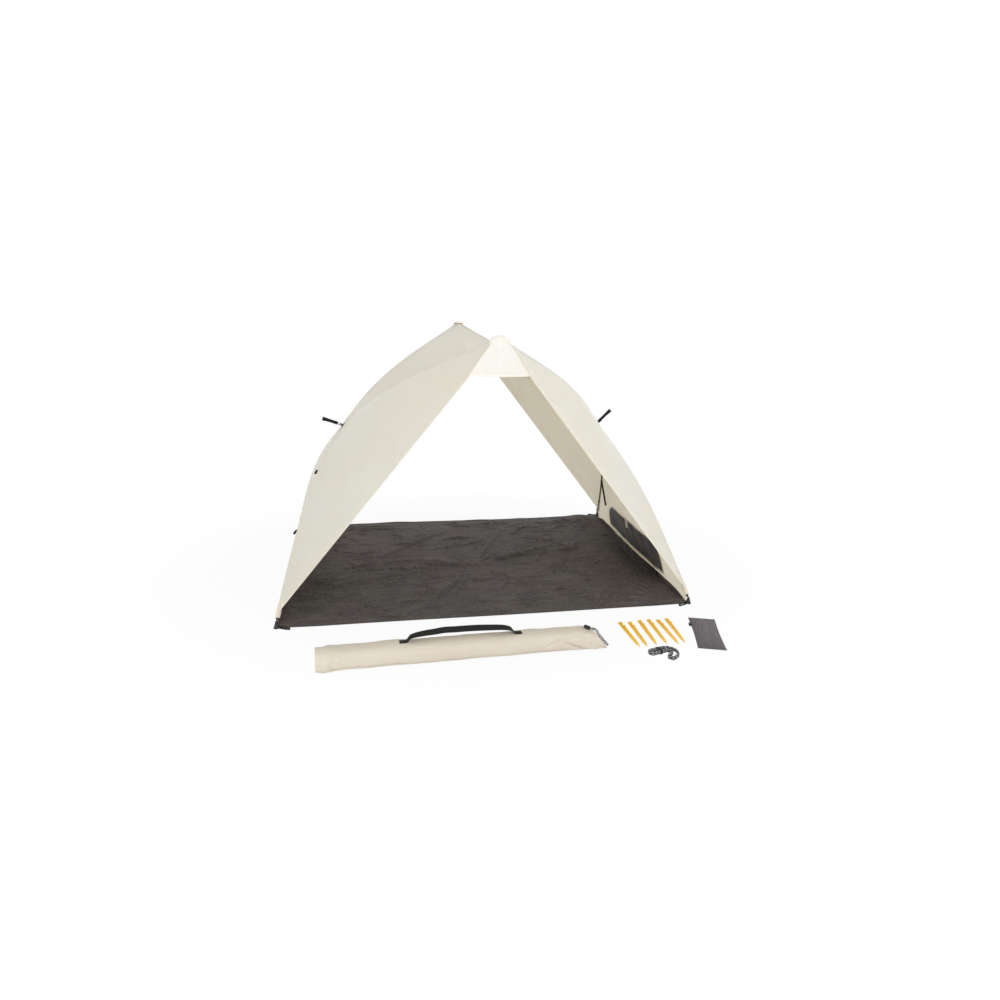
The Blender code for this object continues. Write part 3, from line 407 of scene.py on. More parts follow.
class Shade:
    """The node tree of one finish, or of the surround, built up to its output."""

    def __init__(self, owner: bpy.types.Material | bpy.types.World) -> None:
        """Start with an empty tree.

        Args:
            owner: The material or the world that the tree belongs to.
        """
        self.owner = owner
        owner.use_nodes = True
        self.tree = owner.node_tree
        self.tree.nodes.clear()

    @classmethod
    def named(cls, name: str) -> Shade:
        """The empty tree of a new material."""
        return cls(bpy.data.materials.new(name))

    def node(self, kind: str, settings: dict | None = None, values: dict | None = None,
             output: int | str = 0) -> Value:
        """Add a node.

        Args:
            kind: The node's type.
            settings: Its own settings.
            values: A number, colour or link for each input, by name or place.
            output: The output that is wanted.

        Returns:
            The output's value.
        """
        made = self.tree.nodes.new(kind)
        for name, setting in (settings or {}).items():
            setattr(made, name, setting)
        for name, value in (values or {}).items():
            socket = made.inputs[name]
            if isinstance(value, Value):
                self.tree.links.new(value.socket, socket)
            elif isinstance(value, tuple) and len(value) == 3 and socket.type == "RGBA":
                socket.default_value = (*value, 1.0)
            else:
                socket.default_value = value
        return Value(self, made.outputs[output])

    def also(self, value: Value, output: str | int) -> Value:
        """Another output of the node that a value comes from."""
        return Value(self, value.socket.node.outputs[output])

    def place(self) -> Value:
        """The object's own coordinates, in metres."""
        return self.node("ShaderNodeTexCoord", output="Object")

    def cut(self) -> tuple[Value, Value]:
        """The cloth's own coordinates from its UV map, in metres.

        Returns:
            The places across and along.
        """
        flat = self.node("ShaderNodeUVMap", {"uv_map": "cut"})
        across = self.node("ShaderNodeSeparateXYZ", None, {0: flat})
        return across, self.also(across, 1)

    def noise(self, scale: float, detail: float = 3.0, rough: float = 0.5, at: Value | None = None,
              twist: float = 0.0) -> Value:
        """Cloudy noise.

        Args:
            scale: Its scale, per metre.
            detail: Its octaves.
            rough: How strong the fine octaves are.
            at: Where it is read, and the object's own coordinates by default.
            twist: How much it is distorted.

        Returns:
            A value round a half.
        """
        return self.node("ShaderNodeTexNoise", None,
                         {"Vector": at or self.place(), "Scale": scale, "Detail": detail, "Roughness": rough,
                          "Distortion": twist})

    def stretch(self, vector: Value, scale: tuple[float, float, float], turn: float = 0.0) -> Value:
        """Coordinates scaled, and turned about Z, by a Mapping node."""
        return self.node("ShaderNodeMapping", None, {"Vector": vector, "Scale": scale,
                                                     "Rotation": (0.0, 0.0, turn)})

    def blend(self, share: Operand, first: Value | Colour, second: Value | Colour) -> Value:
        """A mix of two colours."""
        return self.node("ShaderNodeMix", {"data_type": "RGBA"}, {0: share, 6: first, 7: second}, output=2)

    def bump(self, height: Value, strength: float, distance: float) -> Value:
        """A Bump node's normal."""
        return self.node("ShaderNodeBump", None,
                         {"Height": height, "Strength": strength, "Distance": distance})

    def finish(self, **values: Operand | tuple) -> bpy.types.Material:
        """Close the tree with a Principled shader.

        Args:
            **values: The shader's inputs, with _ for each space in their names.

        Returns:
            The material.
        """
        inputs = {name.replace("_", " "): value for name, value in values.items()}
        return self.close(self.node("ShaderNodeBsdfPrincipled", {"subsurface_method": "RANDOM_WALK"}, inputs))

    def close(self, surface: Value, kind: str = "Material") -> bpy.types.Material | bpy.types.World:
        """End the tree at its output.

        Args:
            surface: The shader that the output shows.
            kind: Material or World.

        Returns:
            The material or the world.
        """
        end = self.tree.nodes.new("ShaderNodeOutput" + kind)
        self.tree.links.new(surface.socket, end.inputs["Surface"])
        return self.owner


@dataclass(frozen=True)
class WovenCloth:
    """Thin coated polyester: a plain weave, faint creases and a slight change of tone."""

    name: str
    colour: Colour
    tone: Colour
    roughness: float = 0.72
    thread: float = 0.0009
    crease: float = 0.35
    glow: float = 0.0

    def material(self) -> bpy.types.Material:
        """Build the finish.

        Returns:
            Its material.
        """
        s = Shade.named(self.name)
        u, v = s.cut()
        turns = 2 * math.pi / self.thread
        weave = (u * turns).sine() * (v * turns).sine()
        slub = s.noise(60.0, 2.0, 0.6, s.stretch(s.place(), (1.0, 1.0, 7.0)))
        clouds = s.noise(2.3, 4.0, 0.55)
        soft = s.noise(9.0, 5.0, 0.6, twist=0.6)
        colour = s.blend(clouds.within(0.36, 0.66), self.colour, self.tone)
        colour = s.blend(slub.within(0.3, 0.8) * 0.10, colour, toned(self.colour, 0.86))
        colour = s.blend((weave.size() * 0.05), colour, toned(self.colour, 0.72))
        height = soft * 1.0 + s.noise(34.0, 3.0, 0.5, twist=1.2) * 0.22 + weave * 0.010
        through = {"Subsurface_Weight": 1.0, "Subsurface_Radius": (1.0, 0.92, 0.80),
                   "Subsurface_Scale": self.glow} if self.glow else {}
        return s.finish(Base_Color=colour, Roughness=s.noise(14.0) * 0.14 + (self.roughness - 0.07),
                        Specular_IOR_Level=0.25, Sheen_Weight=0.10, Sheen_Roughness=0.5,
                        Normal=s.bump(height, self.crease, 0.006), **through)


@dataclass(frozen=True)
class WindowMesh:
    """Fine black netting: threads each way with small holes between them."""

    name: str
    colour: Colour
    pitch: float = 0.0016
    cover: float = 0.62

    def material(self) -> bpy.types.Material:
        """Build the finish.

        Returns:
            Its material.
        """
        s = Shade.named(self.name)
        u, v = s.cut()
        turns = math.pi / self.pitch
        across, along = (u * turns).sine().size(), (v * turns).sine().size()
        thread = (1.0 - across).most(1.0 - along)
        solid = thread.within(0.25, 0.55)
        dust = s.noise(11.0, 4.0, 0.6)
        colour = s.blend(dust.within(0.35, 0.75), self.colour, toned(self.colour, 2.2, 0.006))
        alpha = solid * (1.0 - self.cover) + self.cover
        return s.finish(Base_Color=colour, Roughness=dust * 0.2 + 0.62, Alpha=alpha, Sheen_Weight=0.1,
                        Normal=s.bump(thread + s.noise(22.0, 3.0) * 2.0, 0.3, 0.002))


@dataclass(frozen=True)
class CoatedSheet:
    """The groundsheet's dark coated weave: crumpled, with random paler wear, dark and pale bands of painted
    fold shade and highlight, and paler crease lines that are partly wear, partly painted highlight.
    """

    name: str
    colour: Colour
    pale: Colour
    tint: Colour

    def material(self) -> bpy.types.Material:
        """Build the finish.

        Returns:
            Its material.
        """
        s = Shade.named(self.name)
        u, v = s.cut()
        turns = 2 * math.pi / 0.0013
        weave = (u * turns).sine() * (v * turns).sine()
        folds = s.noise(7.0, 6.0, 0.62, twist=1.6)
        lines = 1.0 - (s.noise(13.0, 4.0, 0.55, twist=2.2) - 0.5).size() * 2.0
        crease_lines_wear_and_highlight = lines.within(0.90, 1.0)
        wear = s.noise(3.1, 5.0, 0.65)
        colour = s.blend(wear.within(0.36, 0.68), self.colour, self.pale)
        colour = s.blend(s.noise(2.2, 3.0, 0.5, twist=0.8).within(0.46, 0.66) * 0.75, colour, self.tint)
        # Painted fold shade and highlight: long dark and pale bands in the colour stand for the light and shade
        # across folds; the same noise also bumps the surface.
        fold_bands_painted_light = s.noise(10.0, 6.0, 0.66, s.stretch(s.place(), (0.40, 1.9, 1.0), 0.22), twist=1.3)
        colour = s.blend((1.0 - fold_bands_painted_light.within(0.34, 0.50)) * 0.60, colour, toned(self.colour, 0.50))
        colour = s.blend(fold_bands_painted_light.within(0.54, 0.70) * 0.55, colour, toned(self.pale, 1.55))
        # Finer painted fold shade and highlight: smaller dark and pale bands in the colour; the same noise also
        # bumps the surface.
        fine = s.noise(30.0, 4.0, 0.6, s.stretch(s.place(), (0.55, 1.2, 1.0), 0.14), twist=1.6)
        colour = s.blend((1.0 - fine.within(0.34, 0.48)) * 0.20, colour, toned(self.colour, 0.45))
        colour = s.blend(fine.within(0.54, 0.68) * 0.24, colour, toned(self.pale, 1.6))
        # Paler crease lines: partly wear, partly painted highlight on the creases.
        colour = s.blend(crease_lines_wear_and_highlight * 0.48, colour, toned(self.pale, 1.7))
        colour = s.blend(weave.size() * 0.07, colour, toned(self.colour, 0.6))
        height = folds * 1.0 + crease_lines_wear_and_highlight * 0.16 + weave * 0.012
        return s.finish(Base_Color=colour, Roughness=wear * 0.22 + 0.44, Specular_IOR_Level=0.38,
                        Normal=s.bump(height + fold_bands_painted_light * 0.7 + fine * 0.5, 0.9, 0.018))


@dataclass(frozen=True)
class Webbing:
    """Woven polyester webbing: ribs across it, and a slight ridge down each selvedge."""

    name: str
    colour: Colour
    pitch: float = 0.0017
    strand: float = 0.0026

    def material(self) -> bpy.types.Material:
        """Build the finish.

        Returns:
            Its material.
        """
        s = Shade.named(self.name)
        u, v = s.cut()
        across = (u * (2 * math.pi / self.strand)).sine() * 0.9
        rib = (v * (2 * math.pi / self.pitch) + across).sine()
        fuzz = s.noise(420.0, 2.0, 0.6)
        colour = s.blend(rib.within(-0.7, 0.9) * 0.55, toned(self.colour, 0.55), self.colour)
        colour = s.blend(fuzz.within(0.55, 0.8) * 0.35, colour, toned(self.colour, 2.4, 0.01))
        return s.finish(Base_Color=colour, Roughness=fuzz * 0.2 + 0.7, Sheen_Weight=0.06,
                        Specular_IOR_Level=0.25,
                        Normal=s.bump(rib * 0.5 + fuzz * 0.4, 0.5, 0.0006))


@dataclass(frozen=True)
class BraidedCord:
    """A braid of dark strands with pale tracer strands among them."""

    name: str
    colour: Colour
    tracer: Colour
    pitch: float = 0.0042

    def material(self) -> bpy.types.Material:
        """Build the finish.

        Returns:
            Its material.
        """
        s = Shade.named(self.name)
        u, v = s.cut()
        right = (u * (8 * math.pi) + v * (2 * math.pi / self.pitch)).sine()
        left = (u * (8 * math.pi) - v * (2 * math.pi / self.pitch)).sine()
        strand = (right * left).within(-0.35, 0.35)
        pick = (u * (2 * math.pi) + v * (2 * math.pi / 0.0210)).sine().over(0.34) * left.over(-0.1)
        grey = (u * (2 * math.pi) - v * (2 * math.pi / 0.0130)).sine().over(0.62)
        colour = s.blend(strand * 0.5, toned(self.colour, 0.5), self.colour)
        colour = s.blend(grey * 0.55, colour, toned(self.tracer, 0.35))
        colour = s.blend(pick * 0.92, colour, self.tracer)
        return s.finish(Base_Color=colour, Roughness=strand * 0.2 + 0.6, Sheen_Weight=0.2,
                        Normal=s.bump(right * left + s.noise(900.0, 2.0) * 0.4, 0.7, 0.0004))


@dataclass(frozen=True)
class Moulded:
    """Moulded plastic: a fine pebble, a drift of gloss, and scuffs where it is handled."""

    name: str
    colour: Colour
    scuff: Colour
    roughness: float = 0.45
    grain: float = 900.0
    gloss: float = 0.0

    def material(self) -> bpy.types.Material:
        """Build the finish.

        Returns:
            Its material.
        """
        s = Shade.named(self.name)
        pebble = s.noise(self.grain, 2.0, 0.6)
        drift = s.noise(38.0, 4.0, 0.6)
        rub = s.noise(150.0, 5.0, 0.7, s.stretch(s.place(), (1.0, 0.35, 1.0), 0.5)).within(0.60, 0.74)
        colour = s.blend(drift.within(0.35, 0.7) * 0.5, self.colour, toned(self.colour, 0.82))
        colour = s.blend(rub * 0.35, colour, self.scuff)
        return s.finish(Base_Color=colour, Roughness=drift * 0.18 + rub * 0.15 + (self.roughness - 0.09),
                        Coat_Weight=self.gloss, Normal=s.bump(pebble + drift * 0.6, 0.35, 0.0004))


@dataclass(frozen=True)
class Pultruded:
    """Black fibreglass rod: long fibres under resin, with a dull sheen."""

    name: str
    colour: Colour

    def material(self) -> bpy.types.Material:
        """Build the finish.

        Returns:
            Its material.
        """
        s = Shade.named(self.name)
        fibre = s.noise(1300.0, 2.0, 0.7)
        band = s.noise(26.0, 3.0, 0.6)
        colour = s.blend(fibre.within(0.5, 0.75) * 0.4, self.colour, toned(self.colour, 2.6, 0.008))
        return s.finish(Base_Color=colour, Roughness=band * 0.2 + 0.26, Coat_Weight=0.15,
                        Normal=s.bump(fibre, 0.25, 0.0003))


class Finish(Enum):
    """Every finish of the shelter and its kit."""

    CANOPY = WovenCloth("canopy_cloth", (0.838, 0.738, 0.578), (0.866, 0.772, 0.616), glow=0.0060)
    # The hood cloth's paler, whiter colour is painted highlight: it stands for the light that falls on the
    # hood's front.
    HOOD = WovenCloth("hood_cloth", (0.855, 0.825, 0.765), (0.885, 0.860, 0.810), 0.66, glow=0.0012)
    BINDING = WovenCloth("binding_tape", (0.72, 0.65, 0.54), (0.76, 0.69, 0.58), 0.8, 0.0012, 0.2)
    GROUND = CoatedSheet("groundsheet_cloth", (0.063, 0.056, 0.053), (0.112, 0.100, 0.094),
                         (0.116, 0.082, 0.088))
    NET = WindowMesh("window_mesh", (0.019, 0.015, 0.012))
    NET_CLOTH = WovenCloth("pocket_net", (0.024, 0.020, 0.017), (0.040, 0.034, 0.029), 0.62, 0.0016, 0.6)
    BLACK_WEB = Webbing("black_webbing", (0.020, 0.019, 0.018))
    BAG = WovenCloth("bag_cloth", (0.655, 0.590, 0.490), (0.695, 0.635, 0.540), 0.8, 0.0012, 0.5)
    POUCH = WovenCloth("pouch_cloth", (0.105, 0.090, 0.096), (0.135, 0.119, 0.124), 0.75, 0.0010, 0.6)
    CORD = BraidedCord("guy_cord", (0.022, 0.022, 0.024), (0.74, 0.74, 0.75))
    MOULDING = Moulded("black_moulding", (0.020, 0.020, 0.020), (0.075, 0.072, 0.068))
    ROD = Pultruded("black_fibreglass", (0.014, 0.014, 0.014))
    PEG = Moulded("yellow_plastic", (0.99, 0.60, 0.035), (0.99, 0.76, 0.20), 0.40, 700.0, 0.15)
    THREAD = Moulded("beige_thread", (0.60, 0.53, 0.43), (0.70, 0.64, 0.54), 0.75, 2500.0)
    DARK_THREAD = Moulded("dark_thread", (0.030, 0.028, 0.026), (0.060, 0.056, 0.052), 0.75, 2500.0)

    @property
    def slot(self) -> str:
        """The name of the slot that a piece in this finish fills."""
        return {"BINDING": "canopy_cloth", "NET_CLOTH": "window_mesh"}.get(self.name, self.value.name)

    @property
    def material(self) -> bpy.types.Material:
        """The finish's material, built the first time that it is asked for."""
        name = self.value.name + "_finish"
        if name not in bpy.data.materials:
            self.value.material().name = name
        return bpy.data.materials[name]


# ---- meshes

def link(name: str, mesh: bpy.types.Mesh, finish: Finish) -> bpy.types.Object:
    """Put a mesh in the scene, smooth and in its finish.

    Args:
        name: The object's name.
        mesh: Its mesh, in place.
        finish: Its finish.

    Returns:
        The object.
    """
    mesh.materials.clear()
    mesh.materials.append(finish.material)
    mesh.shade_smooth()
    mesh.set_sharp_from_angle(angle=math.radians(38))
    return added(name, mesh)


def added(name: str, data: bpy.types.ID) -> bpy.types.Object:
    """A new object in the scene, at the origin.

    Args:
        name: The object's name.
        data: Its mesh, light or camera.

    Returns:
        The object.
    """
    item = bpy.data.objects.new(name, data)
    bpy.context.scene.collection.objects.link(item)
    return item


def applied(item: bpy.types.Object) -> bpy.types.Object:
    """Turn an object's modifiers into plain mesh.

    Args:
        item: The object.

    Returns:
        The same object.
    """
    bpy.context.view_layer.update()
    mesh = bpy.data.meshes.new_from_object(item.evaluated_get(bpy.context.evaluated_depsgraph_get()))
    item.modifiers.clear()
    item.data = mesh
    return item


def raw_mesh(name: str, points: np.ndarray, faces: Sequence[Sequence[int]],
             cut: np.ndarray) -> bpy.types.Mesh:
    """A mesh with a UV map in metres.

    Args:
        name: The mesh's name.
        points: Its points, one row each.
        faces: The point numbers of each face.
        cut: Each point's place on the flat cloth, in metres.

    Returns:
        The mesh.
    """
    mesh = bpy.data.meshes.new(name)
    mesh.from_pydata(points.tolist(), [], faces)
    layer = mesh.uv_layers.new(name="cut")
    corners = np.empty(len(mesh.loops), np.int64)
    mesh.loops.foreach_get("vertex_index", corners)
    layer.data.foreach_set("uv", cut[corners].astype(np.float32).ravel())
    mesh.update()
    return mesh


def facing(grid: np.ndarray) -> np.ndarray:
    """The unit normals of a grid of points, on the side from which its rows run down and its columns right.

    Args:
        grid: The points, as rows by columns by three.

    Returns:
        One normal for each point.
    """
    normal = np.cross(np.gradient(grid, axis=1), np.gradient(grid, axis=0))
    return normal / np.maximum(np.linalg.norm(normal, axis=2, keepdims=True), 1e-12)


def grid_faces(rows: int, columns: int) -> np.ndarray:
    """The quads of a grid of points, by their point numbers."""
    number = np.arange(rows * columns).reshape(rows, columns)
    return np.stack([number[:-1, :-1], number[:-1, 1:], number[1:, 1:], number[1:, :-1]], -1).reshape(-1, 4)


def skin(name: str, grid: np.ndarray, cut: np.ndarray, above: np.ndarray | float,
         below: np.ndarray | float, outward: Vector) -> bpy.types.Mesh:
    """A closed skin of cloth on both sides of a grid of points.

    Args:
        name: The mesh's name.
        grid: The points, as rows by columns by three.
        cut: Their places on the flat cloth, as rows by columns by two.
        above: How far the cloth stands on its outward side.
        below: How far it stands on the other side.
        outward: The direction that the outward side faces.

    Returns:
        The mesh.
    """
    normal = facing(grid)
    rows, columns = grid.shape[:2]
    if normal[rows // 2, columns // 2] @ np.array(outward) < 0:
        grid, cut = grid[:, ::-1], cut[:, ::-1]
        above = above[:, ::-1] if isinstance(above, np.ndarray) else above
        below = below[:, ::-1] if isinstance(below, np.ndarray) else below
        normal = facing(grid)
    top = grid + normal * np.broadcast_to(above, (rows, columns))[..., None]
    base = grid - normal * np.broadcast_to(below, (rows, columns))[..., None]
    faces = grid_faces(rows, columns)
    count = rows * columns
    number = np.arange(count).reshape(rows, columns)
    rim = np.concatenate([number[0, :-1], number[:-1, -1], number[-1, :0:-1], number[:0:-1, 0]])
    after = np.roll(rim, -1)
    side = np.stack([rim + count, after + count, after, rim], -1)
    every = np.concatenate([faces, faces[:, ::-1] + count, side]).tolist()
    points = np.concatenate([top.reshape(-1, 3), base.reshape(-1, 3)])
    return raw_mesh(name, points, every, np.concatenate([cut.reshape(-1, 2)] * 2))


def doubled(name: str, grid: np.ndarray, cut: np.ndarray, band: np.ndarray, outward: Vector,
            thick: float = 0.0008, more: float = 0.0006) -> bpy.types.Mesh:
    """A skin of cloth that is thicker where it is doubled.

    Args:
        name: The mesh's name.
        grid: The points, as rows by columns by three.
        cut: Their places on the flat cloth.
        band: One where the cloth is doubled, and nought elsewhere.
        outward: The direction that the outward side faces.
        thick: The cloth's thickness above the grid.
        more: What the doubling adds to it.

    Returns:
        The mesh.
    """
    return skin(name, grid, cut, thick + more * band, 0.0001 + 0.0003 * band, outward)


def vectors(points: np.ndarray) -> list[Vector]:
    """A row of points as a line."""
    return [Vector(p) for p in points]


def arc(x: float, radius: float, start: float, sweep: float, steps: int) -> list[tuple[float, float]]:
    """Places along an arc whose centre lies on the first axis.

    Args:
        x: The centre's place.
        radius: The arc's radius.
        start: The angle at which it starts.
        sweep: The angle that it turns through.
        steps: Its steps.

    Returns:
        The places.
    """
    return [(x + radius * math.cos(start + sweep * i / steps), radius * math.sin(start + sweep * i / steps))
            for i in range(steps + 1)]


def ribbon(name: str, line: Sequence[Vector], faces: Sequence[Vector], width: float, thick: float,
           closed: bool = False, widths: Sequence[float] = ()) -> bpy.types.Mesh:
    """A flat band along a line, with rounded edges.

    Args:
        name: The mesh's name.
        line: The band's middle line.
        faces: The direction that the band's face looks at each point.
        width: The band's width.
        thick: Its thickness.
        closed: Whether the line runs back into its start.
        widths: The band's width at each point, as a share of its width.

    Returns:
        The mesh.
    """
    half, deep = width / 2, thick / 2
    soft = min(deep, half) * 0.6
    section = [(-half + soft, -deep), (half - soft, -deep), (half, -deep + soft), (half, deep - soft),
               (half - soft, deep), (-half + soft, deep), (-half, deep - soft), (-half, soft - deep)]
    count, points, cut, run = len(line), [], [], 0.0
    for i, (place, face) in enumerate(zip(line, faces)):
        before = line[i - 1] if i or closed else line[0]
        after = line[(i + 1) % count] if i + 1 < count or closed else line[-1]
        ahead = (after - before).normalized()
        out = (face - face.dot(ahead) * ahead).normalized()
        over = out.cross(ahead)
        run += (place - line[i - 1]).length if i else 0.0
        wide = widths[i] if widths else 1.0
        points += [place + a * wide * over + b * out for a, b in section]
        cut += [(a + half, run) for a, b in section]
    ring = len(section)
    every: list[tuple[int, ...]] = []
    for i in range(count if closed else count - 1):
        j = (i + 1) % count
        every += [(i * ring + k, i * ring + (k + 1) % ring, j * ring + (k + 1) % ring, j * ring + k)
                  for k in range(ring)]
    if not closed:
        every += [tuple(range(ring - 1, -1, -1)), tuple((count - 1) * ring + k for k in range(ring))]
    mesh = raw_mesh(name, np.array([tuple(p) for p in points]), every, np.array(cut))
    return righted(mesh)


def righted(mesh: bpy.types.Mesh) -> bpy.types.Mesh:
    """Turn all of a mesh's faces outwards.

    Args:
        mesh: The mesh.

    Returns:
        The same mesh.
    """
    shape = bmesh.new()
    shape.from_mesh(mesh)
    bmesh.ops.recalc_face_normals(shape, faces=shape.faces)
    shape.to_mesh(mesh)
    shape.free()
    return mesh


def lofted(name: str, rings: np.ndarray, cut: np.ndarray) -> bpy.types.Mesh:
    """A closed shell through rings of equally many points, capped at both ends.

    Args:
        name: The mesh's name.
        rings: The points, as rings by points by three.
        cut: Their places on the flat cloth, as rings by points by two.

    Returns:
        The mesh.
    """
    count, around = rings.shape[:2]
    number = np.arange(count * around).reshape(count, around)
    turned = np.roll(number, -1, axis=1)
    faces = np.stack([number[:-1], turned[:-1], turned[1:], number[1:]], -1).reshape(-1, 4).tolist()
    ends = [rings[0].mean(0), rings[-1].mean(0)]
    base = count * around
    faces += [(int(turned[0, k]), int(number[0, k]), base) for k in range(around)]
    faces += [(int(number[-1, k]), int(turned[-1, k]), base + 1) for k in range(around)]
    points = np.concatenate([rings.reshape(-1, 3), np.array(ends)])
    flat = np.concatenate([cut.reshape(-1, 2), cut[[0, -1]].mean(1)])
    return righted(raw_mesh(name, points, faces, flat))


@dataclass(frozen=True)
class Waves:
    """Soft folds: a seeded sum of waves whose crests run along one heading."""

    seed: int
    length: float
    height: float
    heading: float = 0.0
    spread: float = 0.5
    count: int = 9

    def at(self, x: np.ndarray, y: np.ndarray) -> np.ndarray:
        """The height of the folds at places on the cloth.

        Args:
            x: The places' first coordinates, in metres.
            y: Their second coordinates.

        Returns:
            The heights.
        """
        rng = np.random.default_rng(self.seed)
        total = np.zeros(np.broadcast(x, y).shape)
        for _ in range(self.count):
            turn = self.heading + math.pi / 2 + rng.normal(0.0, self.spread)
            pace = 2 * math.pi / (self.length * rng.uniform(0.55, 1.7))
            total += np.cos(pace * (x * math.cos(turn) + y * math.sin(turn)) + rng.uniform(0, 2 * math.pi))
        return self.height * total / math.sqrt(self.count)


@dataclass(frozen=True)
class Crease:
    """One fold pressed or pulled into cloth, along a slightly bent line."""

    x: float
    y: float
    heading: float
    length: float
    bend: float
    width: float
    height: float

    def at(self, x: np.ndarray, y: np.ndarray) -> np.ndarray:
        """The height of the fold at places on the cloth.

        Args:
            x: The places' first coordinates, in metres.
            y: Their second coordinates.

        Returns:
            The heights.
        """
        dx, dy = x - self.x, y - self.y
        along = dx * math.cos(self.heading) + dy * math.sin(self.heading)
        aside = dy * math.cos(self.heading) - dx * math.sin(self.heading) - self.bend * along * along
        share = np.clip(along / self.length, -1, 1)
        fade = (1 - share * share) ** 2
        near = (aside / self.width) ** 2
        return self.height * fade * (1.35 * np.exp(-near) - 0.35 * np.exp(-near / 5))


# ---- repeats made by Geometry Nodes

class Repeat:
    """A Geometry Nodes tree that sets one small shape along every line of a mesh."""

    def __init__(self, name: str, sizes: dict[str, float]) -> None:
        """Start a tree that takes lines, sizes and a finish.

        Args:
            name: The tree's name.
            sizes: The default of each size that it takes, by name.
        """
        self.tree = bpy.data.node_groups.new(name, "GeometryNodeTree")
        face = self.tree.interface
        face.new_socket("Geometry", in_out="INPUT", socket_type="NodeSocketGeometry")
        for label, size in sizes.items():
            face.new_socket(label, in_out="INPUT", socket_type="NodeSocketFloat").default_value = size
        face.new_socket("Finish", in_out="INPUT", socket_type="NodeSocketMaterial")
        face.new_socket("Geometry", in_out="OUTPUT", socket_type="NodeSocketGeometry")
        self.source = self.tree.nodes.new("NodeGroupInput")

    def add(self, kind: str, settings: dict | None = None, values: dict | None = None) -> bpy.types.Node:
        """Add a node.

        Args:
            kind: The node's type.
            settings: Its own settings.
            values: A number or a link for each input, by name or place.

        Returns:
            The node.
        """
        made = self.tree.nodes.new(kind)
        for name, setting in (settings or {}).items():
            setattr(made, name, setting)
        for name, value in (values or {}).items():
            if isinstance(value, bpy.types.NodeSocket):
                self.tree.links.new(value, made.inputs[name])
            else:
                made.inputs[name].default_value = value
        return made

    def along(self, shape: bpy.types.NodeSocket, pitch: bpy.types.NodeSocket) -> None:
        """End the tree: the shape at every pitch, its Z ahead, made real and given its finish.

        Args:
            shape: The shape that repeats.
            pitch: The distance from one to the next.
        """
        lines = self.add("GeometryNodeMeshToCurve", None, {0: self.source.outputs[0]})
        spots = self.add("GeometryNodeCurveToPoints", {"mode": "LENGTH"},
                         {"Curve": lines.outputs[0], "Length": pitch})
        turn = self.add("FunctionNodeAlignRotationToVector", {"axis": "Z"},
                        {"Vector": spots.outputs["Tangent"]})
        placed = self.add("GeometryNodeInstanceOnPoints", None,
                          {"Points": spots.outputs["Points"], "Instance": shape, "Rotation": turn.outputs[0]})
        real = self.add("GeometryNodeRealizeInstances", None, {0: placed.outputs[0]})
        coat = self.add("GeometryNodeSetMaterial", None,
                        {"Geometry": real.outputs[0], "Material": self.source.outputs["Finish"]})
        end = self.tree.nodes.new("NodeGroupOutput")
        self.tree.links.new(coat.outputs[0], end.inputs[0])

    def make(self, name: str, lines: Sequence[Sequence[Vector]], finish: Finish,
             sizes: dict[str, float]) -> bpy.types.Object:
        """Run the tree on lines.

        Args:
            name: The piece's name.
            lines: The lines that the shape repeats along.
            finish: The shape's finish.
            sizes: The tree's inputs by name.

        Returns:
            The piece, as plain mesh.
        """
        points = [tuple(p) for line in lines for p in line]
        edges, start = [], 0
        for line in lines:
            edges += [(start + i, start + i + 1) for i in range(len(line) - 1)]
            start += len(line)
        mesh = bpy.data.meshes.new(name)
        mesh.from_pydata(points, edges, [])
        item = added(name, mesh)
        step = item.modifiers.new("repeat", "NODES")
        step.node_group = self.tree
        given = {**sizes, "Finish": finish.material}
        for socket in self.tree.interface.items_tree:
            if socket.in_out == "INPUT" and socket.name in given:
                step[socket.identifier] = given[socket.name]
        applied(item)
        if len(item.data.vertices) == 0:
            raise ValueError(f"{name}: the repeat made nothing")
        return item


def stitch_tree() -> Repeat:
    """Thread: a small spindle for each stitch.

    Returns:
        The tree.
    """
    repeat = Repeat("stitch_row", {"Pitch": 0.0042, "Length": 0.0030, "Thread": 0.0004})
    given = repeat.source.outputs
    grain = repeat.add("GeometryNodeMeshIcoSphere", None, {"Radius": 1.0, "Subdivisions": 1})
    half = repeat.add("ShaderNodeMath", {"operation": "MULTIPLY"}, {0: given["Length"], 1: 0.5})
    size = repeat.add("ShaderNodeCombineXYZ", None,
                      {0: given["Thread"], 1: given["Thread"], 2: half.outputs[0]})
    shaped = repeat.add("GeometryNodeTransform", None,
                        {"Geometry": grain.outputs[0], "Scale": size.outputs[0]})
    repeat.along(shaped.outputs[0], given["Pitch"])
    return repeat


def tie_tree() -> Repeat:
    """Webbing ties: a flat ring round the rod for each tie.

    Returns:
        The tree.
    """
    repeat = Repeat("rod_ties", {"Pitch": 0.3, "Radius": 0.0056, "Width": 0.012})
    given = repeat.source.outputs
    ring = repeat.add("GeometryNodeMeshCylinder", {"fill_type": "NONE"},
                      {"Vertices": 20, "Side Segments": 4, "Radius": given["Radius"],
                       "Depth": given["Width"]})
    wall = repeat.add("GeometryNodeExtrudeMesh", {"mode": "FACES"},
                      {"Mesh": ring.outputs[0], "Offset Scale": 0.0011, "Individual": False})
    both = repeat.add("GeometryNodeJoinGeometry")
    flip = repeat.add("GeometryNodeFlipFaces", None, {0: ring.outputs[0]})
    for part in (wall, flip):
        repeat.tree.links.new(part.outputs[0], both.inputs[0])
    weld = repeat.add("GeometryNodeMergeByDistance", None, {0: both.outputs[0], "Distance": 0.00001})
    repeat.along(weld.outputs[0], given["Pitch"])
    return repeat


